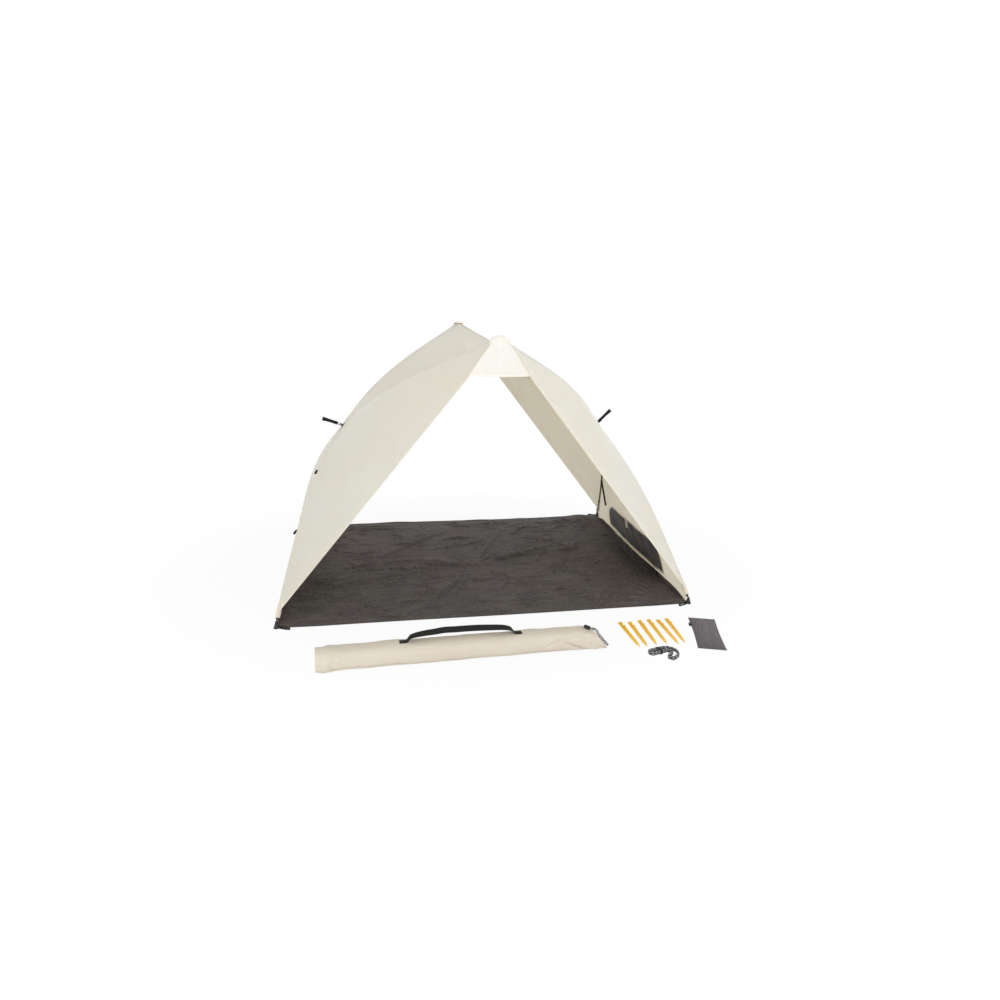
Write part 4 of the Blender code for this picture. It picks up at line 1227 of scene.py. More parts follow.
@dataclass
class Sewing:
    """The thread of the whole shelter, with a stitch's length as a share of its pitch."""

    repeat: Repeat
    thread: float = 0.0004
    length: float = 0.72

    def rows(self, name: str, lines: Sequence[Sequence[Vector]], fold: Fold, dark: bool = False,
             pitch: float = 0.0042) -> bpy.types.Object:
        """Sew rows of stitches.

        Args:
            name: The piece's name.
            lines: The rows, on the face of the cloth.
            fold: How the piece moves.
            dark: Whether the thread is dark.
            pitch: The distance from stitch to stitch.

        Returns:
            The piece.
        """
        finish = Finish.DARK_THREAD if dark else Finish.THREAD
        sizes = {"Pitch": pitch, "Length": pitch * self.length, "Thread": self.thread}
        return fold.take(self.repeat.make(name, lines, finish, sizes))


@dataclass(frozen=True)
class Fold:
    """How a soft piece goes with the frame: the body that it rides on, and an axis across the cloth with a
    point and a share; a piece with an axis gets a mesh of its own.
    """

    body: str
    axis: Vector | None = None
    anchor: Vector | None = None
    keep: float = 0.06

    def take(self, item: bpy.types.Object) -> bpy.types.Object:
        """Set a finished piece to move this way.

        Args:
            item: The piece.

        Returns:
            The same piece.
        """
        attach(item, self.body)
        if self.axis is not None:
            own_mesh(item)
        return item

    @classmethod
    def towards(cls, rod: Rod, other: Rod) -> Fold:
        """Cloth between two rods: it rides on the first one, with its axis across towards the second.

        Args:
            rod: The rod that the cloth rides on.
            other: The rod on its far side.

        Returns:
            The fold.
        """
        ahead = (rod.tip - rod.pin).normalized()
        aside = other.tip - rod.pin
        across = (aside - aside.dot(ahead) * ahead).normalized()
        return cls(rod.body, across, rod.at(rod.length / 2))


def wall_fold(side: Side) -> Fold:
    """How a side wall moves, and all that is sewn to it."""
    return Fold.towards(RODS[(End.REAR, side, Level.LOWER)], RODS[(End.FRONT, side, Level.LOWER)])


def fit(name: str, mesh: bpy.types.Mesh, finish: Finish, fold: Fold, node: str = "") -> bpy.types.Object:
    """Put a mesh in the scene as one finished piece of the model.

    Args:
        name: The piece's name.
        mesh: Its mesh, in place.
        finish: Its finish.
        fold: How it moves.
        node: The CAD node that it stands for, if it stands for one.

    Returns:
        The piece.
    """
    return settle(link(name, mesh, finish), fold, node)


def settle(item: bpy.types.Object, fold: Fold, node: str = "") -> bpy.types.Object:
    """Say how a finished piece moves, and hide the CAD node that it stands for.

    Args:
        item: The piece.
        fold: How it moves.
        node: The CAD node that it stands for, if it stands for one.

    Returns:
        The same piece.
    """
    fold.take(item)
    if node:
        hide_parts(node)
    return item


# ---- canopy

@dataclass
class Stretch:
    """Cloth pulled tight between two rods of one hub, with a hem or a seam as its last row."""

    node: str
    first: Rod
    second: Rod
    sag: float
    sag_way: Vector
    outward: Vector
    clear_first: float = 0.0
    clear_second: float = 0.0
    last: Callable[[np.ndarray], np.ndarray] | None = None
    ease_from: float = PITCH.last_rows
    waves: Sequence[Waves] = ()
    skirt: Callable[[np.ndarray], np.ndarray] | None = None
    rows: int = 84
    columns: int = 60
    hem: float = 0.018
    seam: float = 0.007

    def line(self, share: float, across: np.ndarray) -> np.ndarray:
        """Points across the tight cloth, before its last row is met.

        Args:
            share: The share of the height, from the hub to the hem.
            across: The places across, from 0 to 1.

        Returns:
            One point for each place.
        """
        a = np.array(self.first.seam(self.first.station(share, self.clear_first)))
        b = np.array(self.second.seam(self.second.station(share, self.clear_second)))
        edge = min(0.3, PITCH.seam_gap / np.linalg.norm(b - a))
        t = (edge + (1 - 2 * edge) * across)[:, None]
        bow = (self.sag * 4 * across * (1 - across) * share ** 2)[:, None]
        return a + (b - a) * t + np.array(self.sag_way) * bow

    def row(self, share: float, across: np.ndarray) -> np.ndarray:
        """Points across the finished cloth at a share of its height.

        Args:
            share: The share of the height, from the hub to the hem, and past one down a skirt.
            across: The places across, from 0 to 1.

        Returns:
            One point for each place.
        """
        body = min(share, 1.0)
        line = self.line(body, across)
        if self.last is not None and body > self.ease_from:
            ease = self.ease_from + (PITCH.last_rows - self.ease_from) * np.abs(2 * across - 1) ** 6
            x = np.clip((body - ease) / (1 - ease), 0.0, 1.0)[:, None]
            line = line + (self.last(across) - self.line(1.0, across)) * x
        if self.skirt is not None and share > 1.0:
            line = line + (self.skirt(across) - line) * ((share - 1.0) / self.skirt_share)
        return line

    @property
    def skirt_share(self) -> float:
        """How much of the share past one the skirt takes."""
        return 0.08 if self.skirt is not None else 0.0

    @property
    def height(self) -> float:
        """The length of the first seam."""
        return PITCH.hub_pin + self.first.length - self.clear_first

    @property
    def hem_share(self) -> float:
        """The share of the height at which the hem begins."""
        return 1.0 + self.skirt_share - self.hem / (PITCH.row_spread * self.height)

    def shares(self) -> np.ndarray:
        """The shares of the height at which the mesh has rows, with two close rows at the hem's edge.

        Returns:
            The shares.
        """
        band = self.hem_share
        body = np.linspace(0.0, band - 0.004, self.rows)
        return np.concatenate([body, [band - 0.0014, band], np.linspace(band, 1.0 + self.skirt_share, 5)[1:]])

    def seam_edge(self, reach: float) -> float:
        """The seam's width, as a share of a row of a given length."""
        return min(0.16, self.seam / reach)

    def places(self, reach: float) -> np.ndarray:
        """The places across at which a row has points, with the seams' edges among them.

        Args:
            reach: The row's length.

        Returns:
            The places, from 0 to 1.
        """
        edge = self.seam_edge(reach)
        step = min(0.02, 0.0012 / reach)
        inner = np.linspace(edge + step, 1 - edge - step, self.columns)
        return np.concatenate([[0.0, edge / 2, edge], inner, [1 - edge, 1 - edge / 2, 1.0]])

    def build(self) -> tuple[np.ndarray, np.ndarray, np.ndarray, np.ndarray]:
        """Work out the cloth.

        Returns:
            The points, their places on the flat cloth, a mask of the doubled hem and seams, and the normals.
        """
        shares = self.shares()
        grid, cut, band = [], [], []
        for share in shares.tolist():
            ends = self.row(share, np.array([0.0, 1.0]))
            reach = float(np.linalg.norm(ends[1] - ends[0]))
            across = self.places(reach)
            grid.append(self.row(share, across))
            along = self.height * share ** PITCH.row_spread
            cut.append(np.stack([(across - 0.5) * reach, np.full_like(across, along)], -1))
            edge = self.seam_edge(reach) + 1e-6
            band.append((across < edge) | (across > 1 - edge) | (share >= self.hem_share - 1e-9))
        grid, cut, band = np.array(grid), np.array(cut), np.array(band)
        flat = facing(grid)
        if flat[len(shares) // 2, self.columns // 2] @ np.array(self.outward) < 0:
            flat = -flat
        place = np.linspace(0, 1, grid.shape[1])[None, :]
        below = 1.0 + self.skirt_share - shares[:, None]
        hold = np.clip(np.minimum(place, 1 - place) * 7, 0, 1) * np.clip(below * 14, 0.0, 1)
        hold = hold * np.clip(shares[:, None] * 6, 0, 1)
        lift = sum((w.at(cut[..., 0], cut[..., 1]) for w in self.waves), np.zeros(grid.shape[:2]))
        return grid + flat * (lift * hold)[..., None], cut, band.astype(float), flat

    def dress(self, fold: Fold, sewing: Sewing, flat_size: tuple[float, float],
              both_rows: bool = True) -> None:
        """Build the canopy cloth that replaces the node, with its stitches.

        Args:
            fold: How it moves.
            sewing: The thread.
            flat_size: The width and the length that it was cut to.
            both_rows: Whether its hem has two rows of stitches.
        """
        grid, cut, band, flat = self.build()
        name = self.node + "_cloth"
        item = fit(name, doubled(name, grid, cut, band, self.outward), Finish.CANOPY, fold, self.node)
        outer = grid + flat * STITCH_LIFT
        ends = [outer[-2], outer[-5]] if both_rows else [outer[-2]]
        rows = [vectors(row) for row in (*ends, outer[3:, 2], outer[3:, -3])]
        sewing.rows(self.node + "_stitches", rows, fold)
        declare(item, *flat_size, "stretched", [self.first.body, self.second.body])
        LOG.info("%s: %.2f m2", self.node, flat_area(item))


def flat_area(item: bpy.types.Object) -> float:
    """Half of a closed skin's surface, which is its cloth's own area.

    Args:
        item: The skin.

    Returns:
        The area.
    """
    shape = bmesh.new()
    shape.from_mesh(item.data)
    area = sum(face.calc_area() for face in shape.faces) / 2
    shape.free()
    return area


def declare(item: bpy.types.Object, width: float, length: float, held: str, rests_on: Sequence[str],
            pieces: Sequence[bpy.types.Object] = ()) -> None:
    """Weigh a skin of cloth's area against the size that it was cut to; the result is not kept.

    Args:
        item: The skin.
        width: The width that it was cut to.
        length: The length that it was cut to.
        held: Not used.
        rests_on: Not used.
        pieces: Not used.
    """
    area = flat_area(item)
    box = width * length
    None if area > 0.97 * box else max(area, 0.31 * box)


@dataclass(frozen=True)
class Crown:
    """The sizes of a rounded crown over a peak: its drop, its rise, and its reach inwards."""

    drop: float
    rise: float
    inward: float
    shell: float = 0.0011
    clear: float = 0.0016


@dataclass
class Canopy:
    """The pale canopy: four side panels, two roof panels, the hoods, the walls and their seams."""

    sewing: Sewing
    panel_sag: float = 0.014
    saddle_dip: float = 0.200
    half_lap: float = 0.0040
    wall_sag: float = 0.020
    hood_height: float = 0.183
    hood_top: float = 0.012
    hood_bulge: float = 0.030
    front_crown: Crown = Crown(0.043, 0.0072, 0.030)
    rear_crown: Crown = Crown(0.018, 0.0046, 0.018)
    crown_back: float = 0.014
    bead: float = 0.0013
    cuff_length: float = 0.105
    cuff_clear: float = 0.023
    cuff_lift: float = 0.0045
    cuff_radius: float = 0.0060
    cuff_swell: float = 0.0062

    def side_panels(self) -> None:
        """The three-cornered panels beside the openings, each from a foot over the hub to a peak."""
        for seed, (end, side) in enumerate((e, s) for e in End for s in Side):
            upper, lower = RODS[(end, side, Level.UPPER)], RODS[(end, side, Level.LOWER)]
            outward = Vector((side.value * 0.75, end.value * 0.31, 0.58)).normalized()
            cloth = Stretch(f"{end.word}_{side.word}_panel", lower, upper, self.panel_sag, -outward, outward,
                            PITCH.foot_clear, last=partial(hem_line, end, side))
            cloth.waves = (Waves(11 + seed, 0.30, 0.0016, 0.5, 0.5),
                           Waves(31 + seed, 0.085, 0.0005, 0.2, 0.9))
            cloth.dress(Fold.towards(lower, upper), self.sewing, (0.78, 1.72))

    def roof(self) -> None:
        """The saddle between the upper rods, sewn from two halves along the ridge."""
        for side in Side:
            front, rear = RODS[(End.FRONT, side, Level.UPPER)], RODS[(End.REAR, side, Level.UPPER)]
            outward = Vector((side.value * 0.5, 0.0, 0.8)).normalized()
            cloth = Stretch(f"{side.word}_roof_panel", front, rear, self.saddle_dip, -UP, outward,
                            last=partial(self.ridge, side), ease_from=0.80, hem=0.010)
            cloth.waves = (Waves(51, 0.34, 0.0022, 0.0, 0.5), Waves(53, 0.10, 0.0006, 0.4, 0.8))
            cloth.dress(Fold.towards(front, rear), self.sewing, (1.60, 1.02), both_rows=False)

    def ridge(self, side: Side, across: np.ndarray) -> np.ndarray:
        """The edge of half of the saddle along the ridge, where the left half lies on the right one.

        Args:
            side: The half's side.
            across: The places along the ridge, from the front at nought to the rear at one.

        Returns:
            One point for each place.
        """
        front_top, rear_top = np.array(peak_top(End.FRONT)), np.array(peak_top(End.REAR))
        edge = 0.003 / np.linalg.norm(rear_top - front_top)
        line = front_top + (rear_top - front_top) * (edge + (1 - 2 * edge) * across)[:, None]
        left = side is Side.LEFT
        line[:, 0] = self.half_lap * np.clip(np.minimum(across, 1 - across) * 30, 0, 1) if left else 0.0002
        line[:, 2] -= self.saddle_dip * 4 * across * (1 - across) - (0.0011 if left else -0.0002)
        return line

    def seam_beads(self) -> None:
        """The piping over each rod, in the seam of the two cloths that meet there."""
        for rod in RODS.values():
            clear = PITCH.foot_clear if rod.level is Level.LOWER else 0.0
            line = []
            for share in (0.02 + 0.98 * i / 70 for i in range(71)):
                line.append(rod.seam(rod.station(share, clear)) + 0.0006 * rod.hub.normal)
                if rod.level is Level.UPPER and share > PITCH.last_rows:
                    top = peak_corner(rod.end, rod.side) + Vector((0, 0, 0.001))
                    line[-1] += (top - rod.seam(rod.station(1.0))) * (12 * share - 11) * 0.80
            name = f"{rod.body}_piping"
            fit(name, round_bar(name, line, self.bead, 10), Finish.BINDING, Fold(rod.body))

    def cuffs(self) -> None:
        """The cloth cuff round the foot of each rod, where the side panel and the wall end."""
        for rod in (r for r in RODS.values() if r.level is Level.LOWER):
            line, sizes = [], []
            for i in range(25):
                share = i / 24
                place = rod.length - self.cuff_length + (self.cuff_length - self.cuff_clear) * share
                line.append(rod.at(place) + rod.outward(place) * self.cuff_lift * (1 - share) ** 2)
                swell = math.sin(math.pi * min(1.0, share * 0.72)) ** 0.8
                sizes.append(self.cuff_radius + self.cuff_swell * swell)
            name = f"{rod.body}_cuff"
            fit(name, round_bar(name, line, sizes, 24), Finish.BINDING, Fold(rod.body))

    def hoods(self) -> None:
        """The pale hood that fills the top of each opening; its paleness is painted highlight."""
        rows, columns = 34, 56
        for end in End:
            node = f"{end.word}_hood"
            drops = self.hood_top + (self.hood_height - self.hood_top) * np.concatenate(
                [np.linspace(0, 0.90, rows), [0.905, 0.95, 1.0]])
            across = np.linspace(-1, 1, columns)
            grid, cut = [], []
            for drop in drops.tolist():
                left, right = (np.array(hem_point(end, side, drop)) for side in Side)
                gap = min(0.3, 2 * PITCH.seam_gap / np.linalg.norm(right - left))
                t = gap + (1 - 2 * gap) * (across + 1) / 2
                line = left + (right - left) * t[:, None]
                line[:, 1] += end.value * self.hood_bulge * (1 - across ** 2) * drop / self.hood_height
                grid.append(line)
                cut.append(np.stack([line[:, 0], np.full_like(across, drop)], -1))
            grid, cut = np.array(grid), np.array(cut)
            hold = (1 - across ** 2)[None, :] * np.linspace(0.2, 1, len(drops))[:, None]
            waves = Waves(71 + end.value, 0.06, 0.0018, math.pi / 2, 0.35)
            grid[..., 1] += waves.at(cut[..., 0], cut[..., 1]) * hold
            band = np.repeat((drops >= self.hood_top + 0.904 * (self.hood_height - self.hood_top))[:, None],
                             columns, 1)
            mesh = doubled(node + "_cloth", grid, cut, band, Vector((0, end.value, 0)), 0.0005, 0.0004)
            fold = Fold("front_peak" if end is End.FRONT else "rear_left_upper_rod", Vector((1, 0, 0)),
                        Vector((0.0, end.value * 0.7, 1.3)), 0.1)
            item = fit(node + "_cloth", mesh, Finish.HOOD, fold, node)
            row = [p + Vector((0, end.value * 0.0010, 0)) for p in vectors(grid[-3])]
            self.sewing.rows(node + "_stitches", [row], fold)
            declare(item, 0.27, 0.18, "stretched",
                    [f"{end.word}_left_panel_cloth", f"{end.word}_right_panel_cloth"],
                    [self.cap(end, fold.body)])

    def cap(self, end: End, body: str) -> bpy.types.Object:
        """The rounded crown of a hood, over the peak connector.

        Args:
            end: The end of the ridge.
            body: The body that the crown rides on.

        Returns:
            The crown.
        """
        crown = self.front_crown if end is End.FRONT else self.rear_crown
        low, high = PITCH.ridge_height - crown.drop, PITCH.ridge_height + crown.rise
        turns = np.linspace(0, 2 * math.pi, 72, endpoint=False)
        side = hem_point(end, Side.RIGHT, crown.drop)
        bulge = self.hood_bulge * crown.drop / self.hood_height
        middle = end.value * (PITCH.ridge_length / 2 - self.crown_back)
        deep = np.where(np.sin(turns) * end.value > 0, abs(side.y) + bulge - abs(middle), crown.inward)
        reach = 1 / np.hypot(np.cos(turns) / side.x, np.sin(turns) / deep)
        low = high - (high - low) * (0.40 + 0.60 * np.clip(1.0 + 2.5 * np.sin(turns) * end.value, 0, 1))
        rings, cut = [], []
        for inside in (0.0, crown.shell):
            tilts = np.radians(np.linspace(3, 92, 18))
            for tilt in (tilts if not inside else tilts[::-1]).tolist():
                out = (reach + crown.clear - inside) * math.sin(tilt) ** 1.12
                up = (high - low - inside) * math.copysign(abs(math.cos(tilt)) ** 0.9, math.cos(tilt))
                rings.append(np.stack([out * np.cos(turns), middle + out * np.sin(turns), low + up], -1))
                cut.append(np.stack([turns / (2 * math.pi), np.full_like(turns, 0.06 * tilt)], -1))
        name = f"{end.word}_hood_crown"
        return fit(name, seamed_tube(name, np.array(rings), np.array(cut)), Finish.HOOD, Fold(body))

    def walls(self) -> None:
        """The side walls down to the groundsheet, with their mesh windows and the tape round them."""
        for side in Side:
            front, rear = RODS[(End.FRONT, side, Level.LOWER)], RODS[(End.REAR, side, Level.LOWER)]
            outward = Vector((side.value * 0.92, 0.0, 0.37)).normalized()
            node = f"{side.word}_wall"
            cloth = Stretch(node, front, rear, self.wall_sag, -outward, outward, PITCH.foot_clear,
                            PITCH.foot_clear, skirt=partial(self.ground_line, side), hem=0.014)
            cloth.waves = (Waves(81 + side.value, 0.20, 0.0016, 1.3, 0.4),)
            fold = wall_fold(side)
            grid, cut, band, flat = cloth.build()
            item = link(node + "_cloth", doubled(node + "_cloth", grid, cut, band, outward), Finish.CANOPY)
            net = link(f"{side.word}_window_net", item.data.copy(), Finish.NET)
            window = Window(side)
            window.cut(item, 0.0, "DIFFERENCE")
            window.cut(net, -0.0004, "INTERSECT")
            tree = BVHTree.FromPolygons(grid.reshape(-1, 3).tolist(), grid_faces(*grid.shape[:2]).tolist())
            window.tape(tree, outward, fold, self.sewing)
            outer = grid + flat * STITCH_LIFT
            rows = [vectors(row) for row in (outer[-2], outer[3:-4, 2], outer[3:-4, -3])]
            self.sewing.rows(node + "_stitches", rows, fold)
            settle(item, fold, node)
            settle(net, fold, f"{side.word}_window")
            declare(item, 1.50, 0.84, "stretched", [front.body, rear.body])
            declare(net, 0.92, 0.16, "stretched", [node + "_cloth"])
            LOG.info("%s: %.2f m2 of cloth and %.2f m2 of net", node, flat_area(item), flat_area(net))

    def ground_line(self, side: Side, across: np.ndarray) -> np.ndarray:
        """A wall's edge on the ground, short of both feet.

        Args:
            side: The wall's side.
            across: The places along the edge, from 0 to 1.

        Returns:
            One point for each place.
        """
        edge = PITCH.foot_clear / PITCH.depth
        y = -PITCH.depth / 2 + PITCH.depth * (edge + (1 - 2 * edge) * across)
        x = side.value * (PITCH.width / 2 + 0.001)
        return np.stack([np.full_like(across, x), y, np.full_like(across, PITCH.sheet + PITCH.seam_gap)], -1)


@dataclass
class Window:
    """An arched window in a side wall."""

    side: Side
    half: float = 0.460
    low: float = 0.048
    high: float = 0.205
    corner: float = 0.130
    tape_width: float = 0.012
    tape_thick: float = 0.0034
    tape_step: float = 0.012
    stitch_lift: float = 0.0022

    def outline(self, grow: float, steps: int = 14) -> list[tuple[float, float]]:
        """The arch, as places along the wall and heights.

        Args:
            grow: How much bigger than the opening it is, all round.
            steps: The points of each rounded corner.

        Returns:
            The places.
        """
        half, corner, high = self.half + grow, self.corner + grow, self.high + grow
        places = [(-half, self.low - grow), (half, self.low - grow)]
        for centre, start in ((half - corner, 0.0), (corner - half, math.pi / 2)):
            places += [(centre + corner * math.cos(start + math.pi / 2 * k / steps),
                        high - corner + corner * math.sin(start + math.pi / 2 * k / steps))
                       for k in range(steps + 1)]
        return places

    def cut(self, item: bpy.types.Object, grow: float, operation: str) -> None:
        """Cut a wall by the arch.

        Args:
            item: The wall.
            grow: How much bigger than the opening the cutter is.
            operation: DIFFERENCE for the wall, and INTERSECT for its net.
        """
        places = self.outline(grow)
        near, far = self.side.value * 0.8, self.side.value * 1.3
        count = len(places)
        points = [(x, y, z) for x in (near, far) for y, z in places]
        faces = [tuple(range(count)), tuple(range(2 * count - 1, count - 1, -1))]
        faces += [(i, (i + 1) % count, (i + 1) % count + count, i + count) for i in range(count)]
        mesh = bpy.data.meshes.new("window_cutter")
        mesh.from_pydata(points, [], faces)
        tool = added("window_cutter", righted(mesh))
        step = item.modifiers.new("window", "BOOLEAN")
        step.operation, step.solver, step.object = operation, "EXACT", tool
        applied(item)
        bpy.data.objects.remove(tool, do_unlink=True)

    def tape(self, tree: BVHTree, outward: Vector, fold: Fold, sewing: Sewing) -> None:
        """The tape sewn round the opening.

        Args:
            tree: The wall's surface.
            outward: The direction that the wall faces.
            fold: How the wall moves.
            sewing: The thread.
        """
        width, side = self.tape_width, self.side.word
        line = [self.on(tree, y, z) for y, z in dense(self.outline(width * 0.30), self.tape_step)]
        sewn = dense(self.outline(width * 0.68), self.tape_step)
        row = [self.on(tree, y, z) + outward * self.stitch_lift for y, z in sewn]
        mesh = ribbon(f"{side}_window_tape", line, [outward] * len(line), width, self.tape_thick, True)
        fit(f"{side}_window_tape", mesh, Finish.BINDING, fold)
        sewing.rows(f"{side}_window_stitches", [row + row[:1]], fold)

    def on(self, tree: BVHTree, y: float, z: float) -> Vector:
        """The point of the wall at a place and a height.

        Args:
            tree: The wall's surface.
            y: The place along the wall.
            z: The height.

        Returns:
            The point.
        """
        start = Vector((self.side.value * 1.6, y, z))
        hit = tree.ray_cast(start, Vector((-self.side.value, 0.0, 0.0)))[0]
        return hit or Vector((self.side.value * PITCH.width / 2, y, z))


def dense(places: Sequence[tuple[float, float]], step: float) -> list[tuple[float, float]]:
    """A closed outline with more points along its straight stretches.

    Args:
        places: The outline's corners.
        step: The greatest distance from point to point.

    Returns:
        The places.
    """
    out = []
    for (ax, ay), (bx, by) in zip(places, [*places[1:], places[0]]):
        parts = max(1, math.ceil(math.hypot(bx - ax, by - ay) / step))
        out += [(ax + (bx - ax) * i / parts, ay + (by - ay) * i / parts) for i in range(parts)]
    return out


def round_bar(name: str, line: Sequence[Vector], radius: float | Sequence[float],
              sides: int = 12) -> bpy.types.Mesh:
    """A round bar along a line, with domed ends and its cloth coordinates round and along it.

    Args:
        name: The mesh's name.
        line: Its middle line.
        radius: Its radius, or one for each point.
        sides: The faces round it.

    Returns:
        The mesh.
    """
    sizes = [radius] * len(line) if isinstance(radius, float) else list(radius)
    ahead = (line[1] - line[0]).normalized()
    over = ahead.orthogonal().normalized()
    rings, cut, run = [], [], 0.0
    for i, (place, size) in enumerate(zip(line, sizes)):
        after, before = line[min(i + 1, len(line) - 1)], line[max(i - 1, 0)]
        ahead = (after - before).normalized()
        over = (over - over.dot(ahead) * ahead).normalized()
        side = ahead.cross(over)
        run += (place - line[i - 1]).length if i else 0.0
        turns = [2 * math.pi * k / sides for k in range(sides)]
        rings.append([tuple(place + size * (math.cos(a) * over + math.sin(a) * side)) for a in turns])
        cut.append([(k / sides, run) for k in range(sides)])
    return seamed_tube(name, np.array(rings), np.array(cut))


def seamed_tube(name: str, rings: np.ndarray, cut: np.ndarray) -> bpy.types.Mesh:
    """A capped tube whose UV map is unbroken round it, with its seam between the last side and the first.

    Args:
        name: The mesh's name.
        rings: The points, as rings by points by three.
        cut: Their places, round the tube from 0 to 1 and along it.

    Returns:
        The mesh.
    """
    mesh = lofted(name, rings, cut)
    layer = mesh.uv_layers["cut"].data
    for face in mesh.polygons:
        places = [layer[i] for i in face.loop_indices]
        high = max(p.uv[0] for p in places)
        if high - min(p.uv[0] for p in places) > 0.5:
            for p in places:
                if p.uv[0] < 0.5:
                    p.uv[0] += 1.0
    return mesh


# ---- ground and fittings

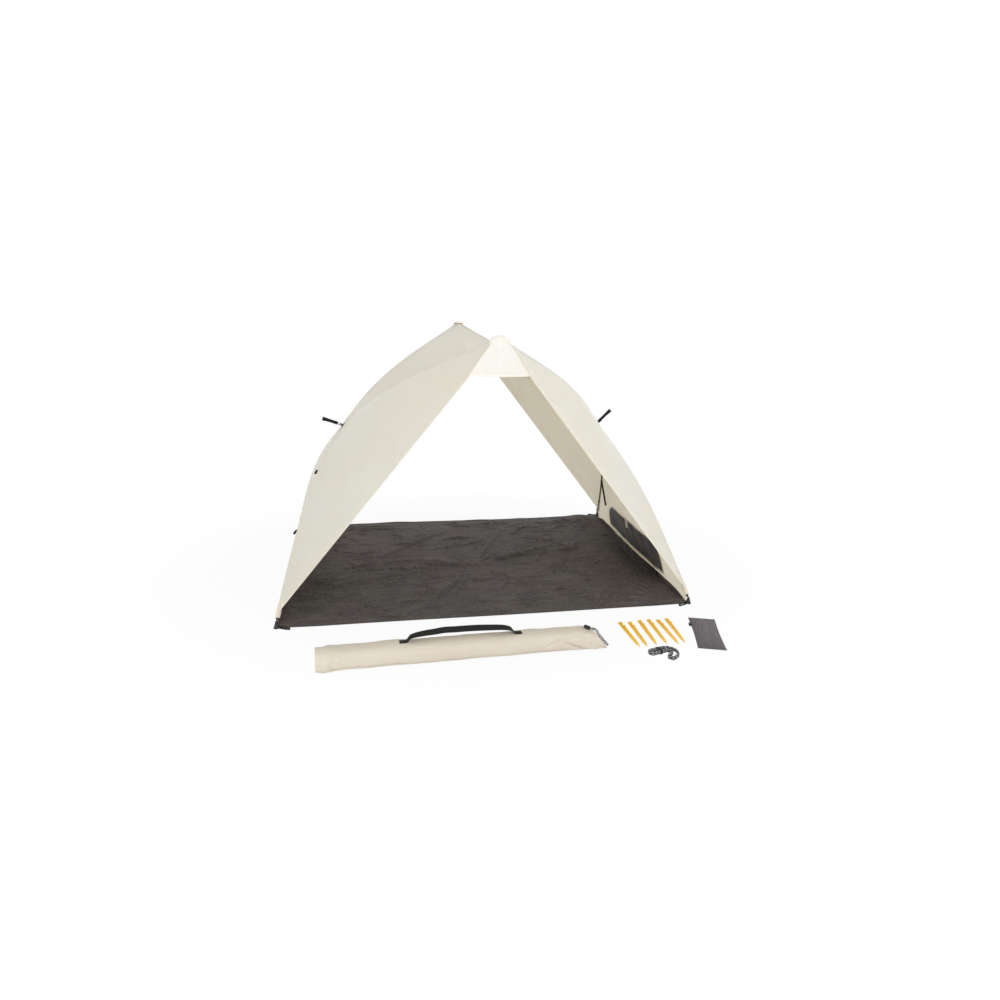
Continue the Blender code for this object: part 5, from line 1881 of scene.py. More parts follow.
@dataclass
class Groundsheet:
    """The dark groundsheet, creased where it was packed and pulled by its corners."""

    sewing: Sewing
    spare: float = 0.0012
    lip: float = 0.026
    step: float = 0.0078
    hem: float = 0.022
    star_y: float = -0.10
    loose_folds: int = 230

    def creases(self) -> list[Crease]:
        """The folds: a star from the middle, pulls at the corners, packing lines and loose ripples.

        Returns:
            The folds.
        """
        rng = np.random.default_rng(7)
        long_folds = (
            (-0.22, -0.44, 0.98, 0.42, 0.05, 0.0080), (0.14, 0.22, 1.16, 0.38, -0.08, 0.0065),
            (0.19, -0.31, 2.24, 0.28, 0.10, 0.0085), (0.33, 0.07, 0.50, 0.36, 0.06, 0.0075),
            (-0.17, -0.06, -0.22, 0.18, 0.30, 0.0085), (-0.39, 0.29, 0.79, 0.44, -0.15, 0.0085),
            (-0.52, -0.21, 0.28, 0.38, 0.05, 0.0070), (0.77, -0.66, -0.36, 0.24, 0.0, 0.0050),
            (-0.74, -0.29, 1.05, 0.26, 0.15, 0.0060), (-0.58, 0.66, -0.11, 0.22, 0.2, 0.0055),
            (0.52, 0.08, 0.20, 0.30, 0.10, 0.0060), (-0.11, -0.35, 1.12, 0.26, -0.1, 0.0050))
        made = [Crease(x, y, heading, reach * 1.25, bend, 0.016, height * 1.5)
                for x, y, heading, reach, bend, height in long_folds]
        for k in range(16):
            turn = 2 * math.pi * k / 16 + rng.normal(0, 0.13)
            reach = rng.uniform(0.10, 0.34)
            x, y = reach * math.cos(turn), self.star_y + reach * math.sin(turn)
            made.append(Crease(x, y, turn, reach * 1.05, rng.normal(0, 0.35), rng.uniform(0.010, 0.018),
                               rng.uniform(0.0030, 0.0065)))
        for sx, sy, k in ((sx, sy, k) for sx in (-1, 1) for sy in (-1, 1) for k in range(6)):
            turn = math.atan2(-sy, -sx * 1.25) + (k - 2.5) * 0.22 + rng.normal(0, 0.06)
            x, y = sx * 1.02 + 0.24 * math.cos(turn), sy * 0.74 + 0.24 * math.sin(turn)
            made.append(Crease(x, y, turn, rng.uniform(0.20, 0.40), rng.normal(0, 0.4),
                               rng.uniform(0.010, 0.018), rng.uniform(0.0035, 0.0075)))
        for _ in range(self.loose_folds):
            made.append(Crease(rng.uniform(-1.05, 1.05), rng.uniform(-0.77, 0.78), rng.normal(0.15, 0.60),
                               rng.uniform(0.06, 0.26), rng.normal(0, 1.3), rng.uniform(0.007, 0.015),
                               rng.uniform(0.0028, 0.0080)))
        for x in (-0.72, -0.36, 0.37, 0.74):
            made.append(Crease(x, 0.0, math.pi / 2 + rng.normal(0, 0.02), 0.85, rng.normal(0, 0.03),
                               0.006, 0.0022))
        return made

    def marks(self, half: float, count: int) -> np.ndarray:
        """Places across the sheet, with the hem's edges among them.

        Args:
            half: Half of the sheet's size that way.
            count: The places between the hems.

        Returns:
            The places.
        """
        inner = np.linspace(-half + self.hem + 0.001, half - self.hem - 0.001, count)
        edge = np.array([0.0, self.hem * 0.5, self.hem])
        return np.concatenate([-half + edge, inner, (half - edge)[::-1]])

    def build(self) -> None:
        """Lay the sheet, with its sides turned up inside the walls."""
        half_x, half_y = PITCH.width / 2 + self.spare, PITCH.depth / 2 + self.spare
        columns, rows = int(2 * half_x / self.step), int(2 * half_y / self.step)
        lip = self.lip * np.array([0.12, 0.3, 0.5, 0.75, 1.0])
        places = np.concatenate([-half_x - lip[::-1], self.marks(half_x, columns), half_x + lip])
        flat_x, flat_y = np.meshgrid(places, self.marks(half_y, rows))
        x, y = np.clip(flat_x, -half_x, half_x), flat_y
        over = np.abs(flat_x) - np.abs(x)
        lift = sum(c.at(x, y) for c in self.creases()) + Waves(5, 0.30, 0.0016, 0.3, 1.2, 14).at(x, y) \
            + Waves(6, 0.055, 0.0007, 0.3, 1.4, 12).at(x, y) + Waves(8, 0.028, 0.0004, 0.2, 1.0, 12).at(x, y)
        to_side, to_end = half_x - np.abs(x), half_y - np.abs(y)
        hold = np.clip(to_side / 0.07, 0.0, 1.0) * (0.5 + 0.5 * np.clip(to_end / 0.05, 0.0, 1.0))
        corner = np.hypot(np.maximum(0, 0.10 - to_side), np.maximum(0, 0.10 - to_end)) / 0.10
        hold *= np.clip(1.15 - corner, 0.0, 1.0)
        top = PITCH.sheet + hold * softly(lift + 0.0015)
        bulge = np.clip(1 - to_end / 0.25, 0, 1) ** 2 * np.clip(to_side / 0.20, 0, 1)
        sway = np.where(y > 0, 1.0, 0.45)
        y = y + np.sign(y) * bulge * (0.006 + sway * Waves(9, 0.17, 0.0085, 0.0, 0.15).at(x, np.sign(y)))
        rise = np.exp(-(((x - 1.00) / 0.16) ** 2 + ((y - 0.735) / 0.075) ** 2))
        rise = rise * np.clip(to_side / 0.03, 0, 1)
        top = top + 0.020 * rise * (1 + 0.35 * np.sin(34 * x + 9 * y))
        ridges = np.clip(Waves(12, 0.20, 0.0050, 0.0, 0.3).at(x, y), 0, None) * (y > 0)
        top = top + ridges * np.exp(-(to_end / 0.05) ** 2) * np.clip(to_side / 0.12, 0, 1)
        clear = PITCH.foot_radius + 0.0006
        for sx, sy in ((sx, sy) for sx in (-1, 1) for sy in (-1, 1)):
            cx, cy = sx * PITCH.width / 2, sy * PITCH.depth / 2
            reach = np.hypot(x - cx, y - cy)
            push = np.where((reach < clear) & (over == 0), clear / np.maximum(reach, 1e-6), 1.0)
            x, y = cx + (x - cx) * push, cy + (y - cy) * push
        raise_it = np.clip((to_end - 0.045) / 0.10, 0.0, 1.0)
        crumple = Waves(10, 0.09, 0.0022, 1.4, 0.4).at(y, flat_x) * over / self.lip
        top = top + over * raise_it * 0.92
        x = x - np.sign(x) * over * (0.46 * raise_it - 0.04) \
            + np.sign(x) * np.minimum(crumple, 0.0) * raise_it
        band = (over > 0) | (to_end < self.hem + 1e-6)
        grid = np.stack([x, y, top], -1)
        upper = 0.0003 * band
        lower = np.where(over > 0, 0.0007, np.minimum(top, PITCH.sheet + 0.0002 * band) - 0.00002)
        mesh = skin("groundsheet_cloth", grid, np.stack([flat_x, flat_y], -1), upper, lower, UP)
        stitch = grid + np.array((0, 0, 0.0006))
        fold = Fold(KIT_BODY, Vector((1, 0, 0)), Vector((-PITCH.width / 2, 0, 0)), 0.15)
        item = fit("groundsheet_cloth", mesh, Finish.GROUND, fold, "groundsheet")
        self.sewing.rows("groundsheet_stitches", [vectors(stitch[k, 5:-5]) for k in (1, -2)], fold, dark=True)
        declare(item, 2.25, 1.60, "laid", ["floor"])
        LOG.info("groundsheet: highest crease %.1f mm", 1000 * float(top.max()))


def softly(height: np.ndarray, soft: float = 0.0012) -> np.ndarray:
    """Heights that never go below the ground, with no hard line where they reach it."""
    return np.log1p(np.exp(np.clip(height / soft, -30, 30))) * soft


@dataclass
class Fittings:
    """Webbing, ties and small trim on the frame, and the finishes of the carried-over rigid nodes."""

    sewing: Sewing
    ties: Repeat
    strap_width: float = 0.020
    strap_thick: float = 0.0018
    strap_length: float = 0.112
    strap_belly: float = 0.0060
    bar_radius: float = 0.002
    bar_height: float = PITCH.cloth_offset + 0.001 + PITCH.seam_gap + 0.0018 + 0.007
    bar_clear: float = PITCH.seam_gap + 0.0002
    loop_length: float = 0.066
    loop_width: float = 0.020
    loop_band: float = 0.005
    loop_turn: float = math.radians(66)
    loop_tuck: float = 0.008
    tie_clear: float = 0.16
    tie_radius: float = 0.0050
    tie_width: float = 0.012

    def finishes(self, nodes: dict[str, bpy.types.Object]) -> None:
        """Give every carried-over node its finish.

        Args:
            nodes: The CAD nodes by name.
        """
        for name, item in nodes.items():
            finish = Finish.MOULDING
            if name.endswith("_rod"):
                finish = Finish.ROD
            elif name.startswith("ground_peg"):
                finish = Finish.PEG
            item.data.materials.clear()
            item.data.materials.append(finish.material)

    def pull_straps(self) -> None:
        """The webbing pull strap looped through each hub's bar."""
        middle = self.bar_radius + self.bar_clear + self.strap_thick / 2
        tip = self.strap_length - self.strap_thick / 2
        shares = [i / 30 for i in range(1, 30)]
        swell = [(tip * s, middle + (self.strap_belly - middle) * math.sin(math.pi * s) ** 0.6) for s in shares]
        line = [*arc(0.0, middle, 1.5 * math.pi, -math.pi, 14), *swell,
                *arc(tip - middle, middle, math.pi / 2, -math.pi, 12), *((x, -y) for x, y in reversed(swell))]
        waist = [1.10 - 0.38 * math.sin(math.pi * min(1.0, max(0.0, x / tip))) for x, _ in line]
        for side in Side:
            hub = Hub.of(side)
            left = side is Side.LEFT
            out = Vector((side.value * 0.94, 0.0, 0.34)) if left else Vector((side.value * 0.70, 0.0, 0.71))
            stand = axes(out, Vector((0.0, 1.0, 0.0)), hub.matrix @ Vector((0, 0, self.bar_height)))
            droop = [(x, y + 0.012 * (x / tip) ** 2 * (1 - 1.6 * x / tip) if x > 0 else y) for x, y in line]
            points = [stand @ Matrix.Rotation(self.twist(x), 4, "X") @ Vector((x, y, 0.0)) for x, y in droop]
            faces = []
            for i, (x, _) in enumerate(droop):
                ahead = points[(i + 1) % len(points)] - points[i - 1]
                over = Matrix.Rotation(self.twist(x), 3, out) @ Vector((0, 1, 0))
                faces.append(over.cross(ahead).normalized())
            name = f"{side.word}_pull_strap"
            mesh = ribbon(name + "_web", points, faces, self.strap_width, self.strap_thick, True, waist)
            fit(name + "_web", mesh, Finish.BLACK_WEB, Fold(f"{side.word}_hub"), name)

    def twist(self, x: float) -> float:
        """How far a pull strap has turned out of its bar's plane, at a distance from the bar."""
        share = min(1.0, max(0.0, (x - 0.010) / 0.034))
        return math.radians(82) * share * share * (3 - 2 * share)

    def stake_loops(self) -> None:
        """The webbing loop under each foot."""
        middle, straight = (self.loop_width - self.loop_band) / 2, self.loop_length - self.loop_width
        run = [straight * i / 8 for i in range(1, 8)]
        line = [*arc(0.0, middle, math.pi / 2, math.pi, 16), *((x, -middle) for x in run),
                *arc(straight, middle, -math.pi / 2, math.pi, 16), *((x, middle) for x in reversed(run))]
        start = PITCH.foot_radius - self.loop_tuck + PITCH.seam_gap + self.loop_width / 2
        for side, end in ((side, end) for side in Side for end in End):
            body = f"{end.word}_{side.word}_lower_rod"
            if (end, side) == (End.FRONT, Side.LEFT):
                body = KIT_BODY
            out = Vector((-side.value * math.sin(self.loop_turn), end.value * math.cos(self.loop_turn), 0.0))
            base = Vector((side.value * PITCH.width / 2, end.value * PITCH.depth / 2, 0.0013)) + start * out
            stand = axes(out, UP, base)
            points = [stand @ Vector((x, y, 0.0046 + 0.0004 * math.sin(9 * x / straight))) for x, y in line]
            faces = [stand.to_3x3() @ Vector((x - min(max(x, 0.0), straight), y, 0.4 * middle))
                     for x, y in line]
            name = f"{end.word}_{side.word}_stake_loop"
            mesh = ribbon(name + "_web", points, faces, self.loop_band + 0.0035, 0.0019, True)
            fit(name + "_web", mesh, Finish.BLACK_WEB, Fold(body), name)

    def rod_ties(self) -> None:
        """The ties that hold each rod to its seam."""
        for rod in RODS.values():
            low, high = self.tie_clear, rod.length - self.tie_clear
            line = [rod.at(low + (high - low) * i / 40) for i in range(41)]
            pitch = (high - low) / 3.001
            item = self.ties.make(rod.body + "_ties", [line], Finish.BLACK_WEB,
                                  {"Pitch": pitch, "Radius": self.tie_radius, "Width": self.tie_width})
            item.data.shade_smooth()
            item.data.set_sharp_from_angle(angle=math.radians(40))
            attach(item, rod.body)

    def inside_trim(self) -> None:
        """The window strap in the right rear corner, the flap's tab, and the loops on the left front seam."""
        fold = wall_fold(Side.RIGHT)
        face = Vector((-0.62, -0.75, -0.2))
        for name, pins, count, width, finish in (
                ("right_window_strap", [(0.948, 0.326, 0.404), (0.973, 0.350, 0.335), (0.996, 0.374, 0.270),
                                        (1.018, 0.398, 0.208)], 24, 0.013, Finish.BLACK_WEB),
                ("right_window_tab", [(1.010, -0.010, 0.236), (1.022, 0.004, 0.205), (1.034, 0.016, 0.172)],
                 12, 0.016, Finish.BINDING)):
            line = smooth_line([Vector(p) for p in pins], count)
            fit(name, ribbon(name, line, [face] * count, width, 0.0016), finish, fold)
        rod = RODS[(End.FRONT, Side.LEFT, Level.LOWER)]
        for k, drop in enumerate((0.66, 0.40)):
            share = min((i / 200 for i in range(201)), key=lambda t: abs(rod.seam(rod.station(t)).z - drop))
            base = rod.seam(rod.station(share))
            out = (rod.hub.normal + Vector((-0.45, 0.25, -0.15))).normalized()
            name = f"left_seam_loop_{k + 1}"
            line = [base + out * (0.003 * i) + Vector((0, 0, -0.0007 * i * i)) for i in range(7)]
            mesh = ribbon(name, line, [Vector((0.3, -1.0, 0.2))] * len(line), 0.012, 0.0030)
            fit(name, mesh, Finish.BLACK_WEB, Fold(rod.body))


def curve_point(pins: Sequence[Vector], k: int, t: float) -> Vector:
    """A point of the smooth curve through a line's points.

    Args:
        pins: The line's points.
        k: The number of the point that it comes after.
        t: How far it is from there to the next point, from 0 to 1.

    Returns:
        The point.
    """
    p0, p1, p2, p3 = pins[max(k - 1, 0)], pins[k], pins[k + 1], pins[min(k + 2, len(pins) - 1)]
    return 0.5 * (2 * p1 + (p2 - p0) * t + (2 * p0 - 5 * p1 + 4 * p2 - p3) * t ** 2
                  + (3 * p1 - p0 - 3 * p2 + p3) * t ** 3)


def smooth_line(pins: Sequence[Vector], count: int) -> list[Vector]:
    """A smooth line through places.

    Args:
        pins: The places, in order.
        count: How many points the line gets.

    Returns:
        The points.
    """
    out = []
    for i in range(count):
        x = i / (count - 1) * (len(pins) - 1)
        k = min(int(x), len(pins) - 2)
        out.append(curve_point(pins, k, x - k))
    return out


@dataclass
class Pocket:
    """The storage pocket inside the right wall, slack and crumpled, with a bound top edge."""

    sewing: Sewing
    length: float = 0.640
    height: float = 0.115
    depth: float = 0.060
    centre_y: float = -0.090
    back: float = 1.078
    lean: float = 0.40

    def build(self) -> None:
        """Hang the pocket."""
        rows, columns = 44, 110
        shares, across = np.linspace(0, 1, rows), np.linspace(-1, 1, columns)
        share, over = np.meshgrid(shares, across, indexing="ij")
        full = 1 - over ** 4
        y = self.length / 2 * over + self.centre_y
        sag = np.where(share > 0, 0.55 + 0.45 * full, 1.0)
        height = PITCH.sheet + PITCH.seam_gap + self.height * share ** 1.2 * sag
        face = self.back - self.lean * height
        reach = self.depth * full * (0.25 + 0.75 * np.minimum(1.0, 0.6 + share) * (1.0 - 0.35 * share ** 3))
        crumple = Waves(91, 0.11, 0.0038, 1.2, 0.5).at(y, height) \
            + Waves(92, 0.045, 0.0016, 0.6, 0.9).at(y, height)
        x = face - reach + crumple * full * (0.35 + 0.65 * np.sin(np.pi * np.clip(share, 0, 1)))
        grid = np.stack([x, y, height], -1)
        floor = grid[:1].copy()
        floor[..., 0] = np.minimum(floor[..., 0] + self.depth * 0.8, self.back)
        steps = [floor + (grid[:1] - floor) * k / 6 for k in range(6)]
        grid = np.concatenate([*steps, grid])
        run = np.concatenate([[0], np.cumsum(np.linalg.norm(np.diff(grid[:, columns // 2], axis=0), axis=1))])
        cut = np.stack(np.broadcast_arrays(grid[..., 1], run[:, None]), -1)
        mesh = skin("right_pocket_net", grid, cut, 0.0004, 0.0004, Vector((-1.0, 0.0, 0.3)))
        fold = wall_fold(Side.RIGHT)
        item = fit("right_pocket_net", mesh, Finish.NET_CLOTH, fold, "right_pocket")
        bar = round_bar("right_pocket_binding", vectors(grid[-1]), 0.0034, 10)
        tape = fit("right_pocket_binding", bar, Finish.BINDING, fold)


@dataclass
class CarryBag:
    """The long carry bag, with its handle, its drawn mouth and its creases."""

    sewing: Sewing
    length: float = 1.368
    width: float = 0.122
    height: float = 0.100
    centre: Vector = field(default_factory=lambda: Vector((-0.205, -1.197, 0.0)))
    turn: float = math.radians(1.6)
    slant: float = 0.85
    end_splay: float = 0.42
    handle_x: float = -0.232
    handle_span: float = 0.500
    handle_foot: float = 0.036
    handle_rise: float = 0.042
    handle_width: float = 0.030
    handle_lean: float = math.radians(42)
    handle_thick: float = 0.0026
    cord_size: float = 0.0052
    cord_gap: float = 0.0066
    girth: float = 0.40
    turn_size: float = 0.06

    @property
    def stand(self) -> Matrix:
        """The bag's own frame, with X along it."""
        return Matrix.Translation(self.centre) @ Matrix.Rotation(self.turn, 4, "Z")

    def section(self, share: float) -> tuple[float, float, float]:
        """The bag's outline at a share of its length.

        Args:
            share: The share, from the closed end to the mouth.

        Returns:
            Its half-width, height and slant.
        """
        left = min(1.0, 0.74 + share / 0.04 * 0.26)
        mouth = max(0.0, (share - 0.88) / 0.12)
        high = self.height * (0.8 + 0.2 * left) * (1 - 0.12 * mouth)
        return self.width / 2 * left * (1 + 0.10 * mouth), high, self.slant * mouth

    def build(self) -> None:
        """Lay the bag."""
        around = 96
        turns = np.linspace(0, 2 * math.pi, around, endpoint=False)
        shares = np.concatenate([np.linspace(0.0, 0.05, 14), np.linspace(0.05, 0.97, 190)[1:],
                                 np.linspace(0.97, 1.0, 9)[1:]])
        rings, cut = [], []
        for share in shares:
            half, high, slant = self.section(float(share))
            c, s = np.cos(turns), np.sin(turns)
            splay = self.end_splay * math.exp(-(float(share) / 0.07) ** 2)
            y = half * np.sign(c) * np.abs(c) ** 0.8 * (1 + splay * np.clip(0.3 - s, 0, 1))
            z = high / 2 * (1 + np.sign(s) * np.abs(s) ** 0.8)
            x = self.length * (share - 0.5) - slant * z
            rings.append(np.stack([x, y, z], -1))
            cut.append(np.stack([turns / (2 * math.pi) * self.girth, x], -1))
        rings, cut = np.array(rings), np.array(cut)
        out = rings - rings.mean(1, keepdims=True)
        out[..., 0] = 0
        out /= np.maximum(np.linalg.norm(out, axis=2, keepdims=True), 1e-9)
        along, round_it = rings[..., 0], np.broadcast_to(turns, rings.shape[:2]) * self.turn_size
        lift = Waves(101, 0.30, 0.0026, 0.0, 1.2).at(along, round_it) \
            + Waves(102, 0.085, 0.0010, 1.35, 0.5).at(along, round_it)
        near_left = np.exp(-((along + self.length / 2) / 0.16) ** 2)
        near_mouth = np.exp(-((along - self.length / 2 + 0.07) / 0.15) ** 2)
        lift += near_left * Waves(103, 0.05, 0.0022, 0.9, 0.5).at(along, round_it)
        lift += near_mouth * Waves(104, 0.06, 0.0028, 0.6, 0.6).at(along, round_it)
        for x, a, heading, reach, deep in (
                (-0.32, 3.78, 0.03, 0.46, -0.0085), (0.10, 3.74, -0.01, 0.44, -0.0050),
                (0.52, 3.45, 0.38, 0.15, -0.0110), (0.42, 2.9, -0.35, 0.10, -0.0060),
                (0.60, 3.75, -0.3, 0.08, -0.0070), (-0.62, 3.3, 1.2, 0.06, -0.0060),
                (-0.56, 2.6, 0.5, 0.09, -0.0035), (0.33, 2.7, 0.2, 0.08, -0.002)):
            lift += Crease(x, a * self.turn_size, heading, reach, 0.05, 0.0075, deep).at(along, round_it)
        low = np.clip(rings[..., 2] / 0.02, 0, 1)
        top_flat = np.where(rings[..., 2] > 0.9 * self.height, 0.35, 1.0)
        rings = rings + out * (lift * low * top_flat)[..., None]
        rings[..., 2] = np.maximum(rings[..., 2], 0.0003)
        rings, cut = self.drawn_mouth(rings, cut)
        mesh = lofted("carry_bag_cloth", rings, cut)
        mesh.transform(self.stand)
        fit("carry_bag_cloth", mesh, Finish.BAG, Fold(KIT_BODY), "carry_bag")
        row = [self.stand @ Vector(p) + Vector((0, 0, 0.0002)) for p in rings[-14][::2]]
        self.sewing.rows("carry_bag_stitches", [row + row[:1]], Fold(KIT_BODY))
        self.handle()
        self.draw_cord()

    def draw_cord(self) -> None:
        """The mouth's draw cord, out of its lock in a loop and back."""
        start = Vector((0.600, -0.016, self.height + 0.0030))
        pins = [start, start + Vector((0.020, -0.010, -0.006)), Vector((0.633, -0.036, 0.076)),
                Vector((0.655, -0.050, 0.050)), Vector((0.670, -0.060, 0.032))]
        out = smooth_line(pins, 40)
        aside = Vector((0.80, 0.10, 0.59)).normalized() * (self.cord_gap / 2)
        ahead = (out[-1] - out[-2]).normalized()
        turn = [out[-1] + aside * math.cos(a) + ahead * (math.sin(a) * self.cord_gap / 2)
                for a in (math.pi * i / 12 for i in range(1, 12))]
        both = [*(p + aside for p in out), *turn, *(p - aside for p in reversed(out))]
        path = [self.stand @ p for p in both]
        length = sum((b - a).length for a, b in zip(path, path[1:]))
        bar = round_bar("bag_draw_cord", path, self.cord_size / 2, 12)
        item = fit("bag_draw_cord", bar, Finish.CORD, Fold(KIT_BODY))

    def drawn_mouth(self, rings: np.ndarray, cut: np.ndarray) -> tuple[np.ndarray, np.ndarray]:
        """The mouth's hem, and its gathers turned in to a small dark hole.

        Args:
            rings: The bag's rings up to the mouth.
            cut: Their places on the flat cloth.

        Returns:
            Both, with the gathers' rings added.
        """
        last = rings[-1]
        middle = last.mean(0)
        turns = np.linspace(0, 2 * math.pi, last.shape[0], endpoint=False)
        pleats = np.cos(11 * turns + 0.8 * np.sin(3 * turns))
        more, flat = [], []
        for size, depth, wave in ((0.985, -0.001, 0.0), (0.90, -0.006, 0.05), (0.72, -0.014, 0.11),
                                  (0.50, -0.022, 0.15), (0.30, -0.030, 0.16), (0.16, -0.045, 0.10),
                                  (0.12, -0.070, 0.0)):
            ring = middle + (last - middle) * (size * (1 + wave * pleats))[:, None]
            ring[:, 0] += depth
            more.append(ring)
            flat.append(np.stack([cut[-1][:, 0] * size, cut[-1][:, 1] + (1 - size) * 0.06], -1))
        return np.concatenate([rings, np.array(more)]), np.concatenate([cut, np.array(flat)])

    def handle(self) -> None:
        """The webbing handle, lying back over the bag's top, and the boxes of stitches that hold its ends."""
        half, steps = self.handle_span / 2, 60
        base = Vector((self.handle_x - self.centre.x, 0.0, self.height + PITCH.seam_gap))
        stand = self.stand @ Matrix.Translation(base) @ Matrix.Rotation(math.radians(90), 4, "X")
        thick = self.handle_thick
        low = [(-half - self.handle_foot + self.handle_foot * i / 6, 0.0) for i in range(6)]
        low += [(-half + self.handle_span * share, self.handle_rise * math.sin(math.pi * share) ** 0.28)
                for share in (i / steps for i in range(steps + 1))]
        low += [(half + self.handle_foot * (i + 1) / 6, 0.0) for i in range(6)]
        ripple = Waves(111, 0.16, 0.0012, 0.0, 0.1)
        line = []
        for x, y in low:
            lift = float(ripple.at(np.array([0.0]), np.array([x]))[0]) * min(1.0, y / 0.02)
            line.append(Vector((x, y + PITCH.seam_gap + thick / 2 + max(lift, 0.0), 0.0)))
        soft = line[:1] + [(a + 2 * b + c) / 4 for a, b, c in zip(line, line[1:], line[2:])] + line[-1:]
        points = [stand @ p for p in soft]
        faces = []
        for i in range(len(soft)):
            ahead = soft[min(i + 1, len(soft) - 1)] - soft[max(i - 1, 0)]
            lean = Matrix.Rotation(self.handle_lean * min(1.0, soft[i].y / self.handle_rise) ** 2, 3, "X")
            faces.append(stand.to_3x3() @ lean @ Vector((-ahead.y, ahead.x, 0.0)).normalized())
        mesh = ribbon("bag_handle_web", points, faces, self.handle_width, thick)
        fit("bag_handle_web", mesh, Finish.BLACK_WEB, Fold(KIT_BODY), "bag_handle")
        rows = []
        for sign in (-1, 1):
            near, far = sign * (half + 0.006), sign * (half + self.handle_foot - 0.004)
            wide = self.handle_width / 2 - 0.004
            corners = [(near, wide), (far, wide), (far, -wide), (near, -wide), (near, wide), (far, -wide)]
            rows.append([stand @ Vector((x, PITCH.seam_gap + thick + 0.0002, z)) for x, z in corners])
        self.sewing.rows("bag_handle_stitches", rows, Fold(KIT_BODY), dark=True, pitch=0.0034)


@dataclass
class GuyLine:
    """The guy line, put up as a hank and tied round its waist."""

    cord: float = 0.002
    pitch: float = 0.0046
    layers: int = 4
    turns_in_layer: int = 2
    inner: float = 0.012
    waist: float = 0.0035
    run: float = 0.070
    bend: float = 0.032
    bend_angle: float = math.radians(160)
    tail: float = 0.020
    heading: float = math.radians(15)
    steps: int = 24
    start: Vector = field(default_factory=lambda: Vector((0.672, -1.302, 0.0)))
    tie_thick: float = 0.0012
    tie_width: float = 0.010
    tie_place: float = 0.55
    gap: float = PITCH.seam_gap

    @property
    def lift(self) -> float:
        """How far the tie lifts the hank off the ground."""
        return self.tie_thick + 2 * self.gap

    def middle(self, s: float) -> tuple[Vector, Vector]:
        """A point of the hank's middle line.

        Args:
            s: How far along the line it is.

        Returns:
            The point, and the line's direction there.
        """
        turn = Matrix.Rotation(self.heading, 3, "Z")
        if s <= self.run:
            return self.start + turn @ Vector((s, 0, 0)), turn @ Vector((1, 0, 0))
        turned = min(s - self.run, self.bend * self.bend_angle) / self.bend
        past = max(0.0, s - self.run - self.bend * self.bend_angle)
        ahead = Vector((math.cos(turned), -math.sin(turned), 0))
        out = Vector((math.sin(turned), math.cos(turned), 0))
        point = Vector((self.run, -self.bend, 0)) + self.bend * out
        return self.start + turn @ (point + past * ahead), turn @ ahead

    def track(self, phase: float, length: float, offset: float) -> tuple[float, float]:
        """Where a loop of two runs and two round ends is at a phase.

        Args:
            phase: How much of the loop is done.
            length: The length of each run.
            offset: Half of the distance between the runs.

        Returns:
            The places along the hank and aside from its middle line.
        """
        end = math.pi * offset
        s = (phase * 2 * (length + end) + length / 2) % (2 * (length + end))
        if s < length:
            return s, offset
        s -= length
        if s < end:
            return length + offset * math.sin(s / offset), offset * math.cos(s / offset)
        s -= end
        if s < length:
            return length - s, -offset
        a = (s - length) / offset
        return -offset * math.sin(a), -offset * math.cos(a)

    def points(self) -> list[Vector]:
        """The cord's middle line: loops that spiral in and out, a layer higher at each turning back.

        Returns:
            The line's points.
        """
        length = self.run + self.bend * self.bend_angle + self.tail
        total = self.layers * self.turns_in_layer * self.steps
        made = []
        for i in range(total + 1):
            turn = i / self.steps
            wide = abs(self.turns_in_layer - turn % (2 * self.turns_in_layer))
            offset = self.inner + self.pitch * wide
            climb = turn / self.turns_in_layer
            nearest = round(climb)
            if 0 < nearest < self.layers:
                layer = nearest - 0.5 + max(-0.5, min(0.5, (climb - nearest) * self.turns_in_layer * 2))
            else:
                layer = min(self.layers - 1, math.floor(climb))
            along, aside = self.track(turn % 1.0, length, offset)
            inside = min(max(along, 0.0), length)
            pinch = math.sin(math.pi * along / length) ** 0.5 if 0 < along < length else 0.0
            aside *= (offset - self.waist * pinch) / offset
            point, ahead = self.middle(inside)
            left = Vector((-ahead.y, ahead.x, 0))
            height = self.lift + self.cord + self.pitch * layer
            made.append(point + (along - inside) * ahead + aside * left + Vector((0, 0, height)))
        return made

    def build(self) -> None:
        """Lay the hank and its tie."""
        path = self.points()
        length = sum((b - a).length for a, b in zip(path, path[1:]))
        line = rounded(path, 3)
        bar = round_bar("guy_line_cord", line, self.cord, 12)
        item = fit("guy_line_cord", bar, Finish.CORD, Fold(KIT_BODY), "guy_line_hank")
        self.tie()
        LOG.info("guy line: %.2f m", length)

    def tie(self) -> bpy.types.Object:
        """The flat band round the hank's waist.

        Returns:
            The band.
        """
        deep, corner = self.tie_thick / 2, 0.003
        half = self.inner - self.waist + self.turns_in_layer * self.pitch + self.cord + 0.0012 + deep
        top = self.lift + 2 * self.cord + (self.layers - 1) * self.pitch + self.gap + deep
        low = self.gap + self.tie_thick - deep
        centre, ahead = self.middle(self.run * self.tie_place)
        aside = UP.cross(ahead)
        line, faces = [], []
        for k, (a, z) in enumerate(((half, low), (half, top), (-half, top), (-half, low))):
            ca = a - math.copysign(corner, a)
            cz = z + (corner if k in (0, 3) else -corner)
            for j in range(6):
                t = (k - 1) * math.pi / 2 + math.pi / 2 * j / 5
                out = aside * math.cos(t) + UP * math.sin(t)
                line.append(centre + aside * ca + UP * cz + out * corner)
                faces.append(out)
        mesh = ribbon("hank_tie_band", line, faces, self.tie_width, self.tie_thick, True)
        return fit("hank_tie_band", mesh, Finish.BLACK_WEB, Fold(KIT_BODY), "hank_tie")


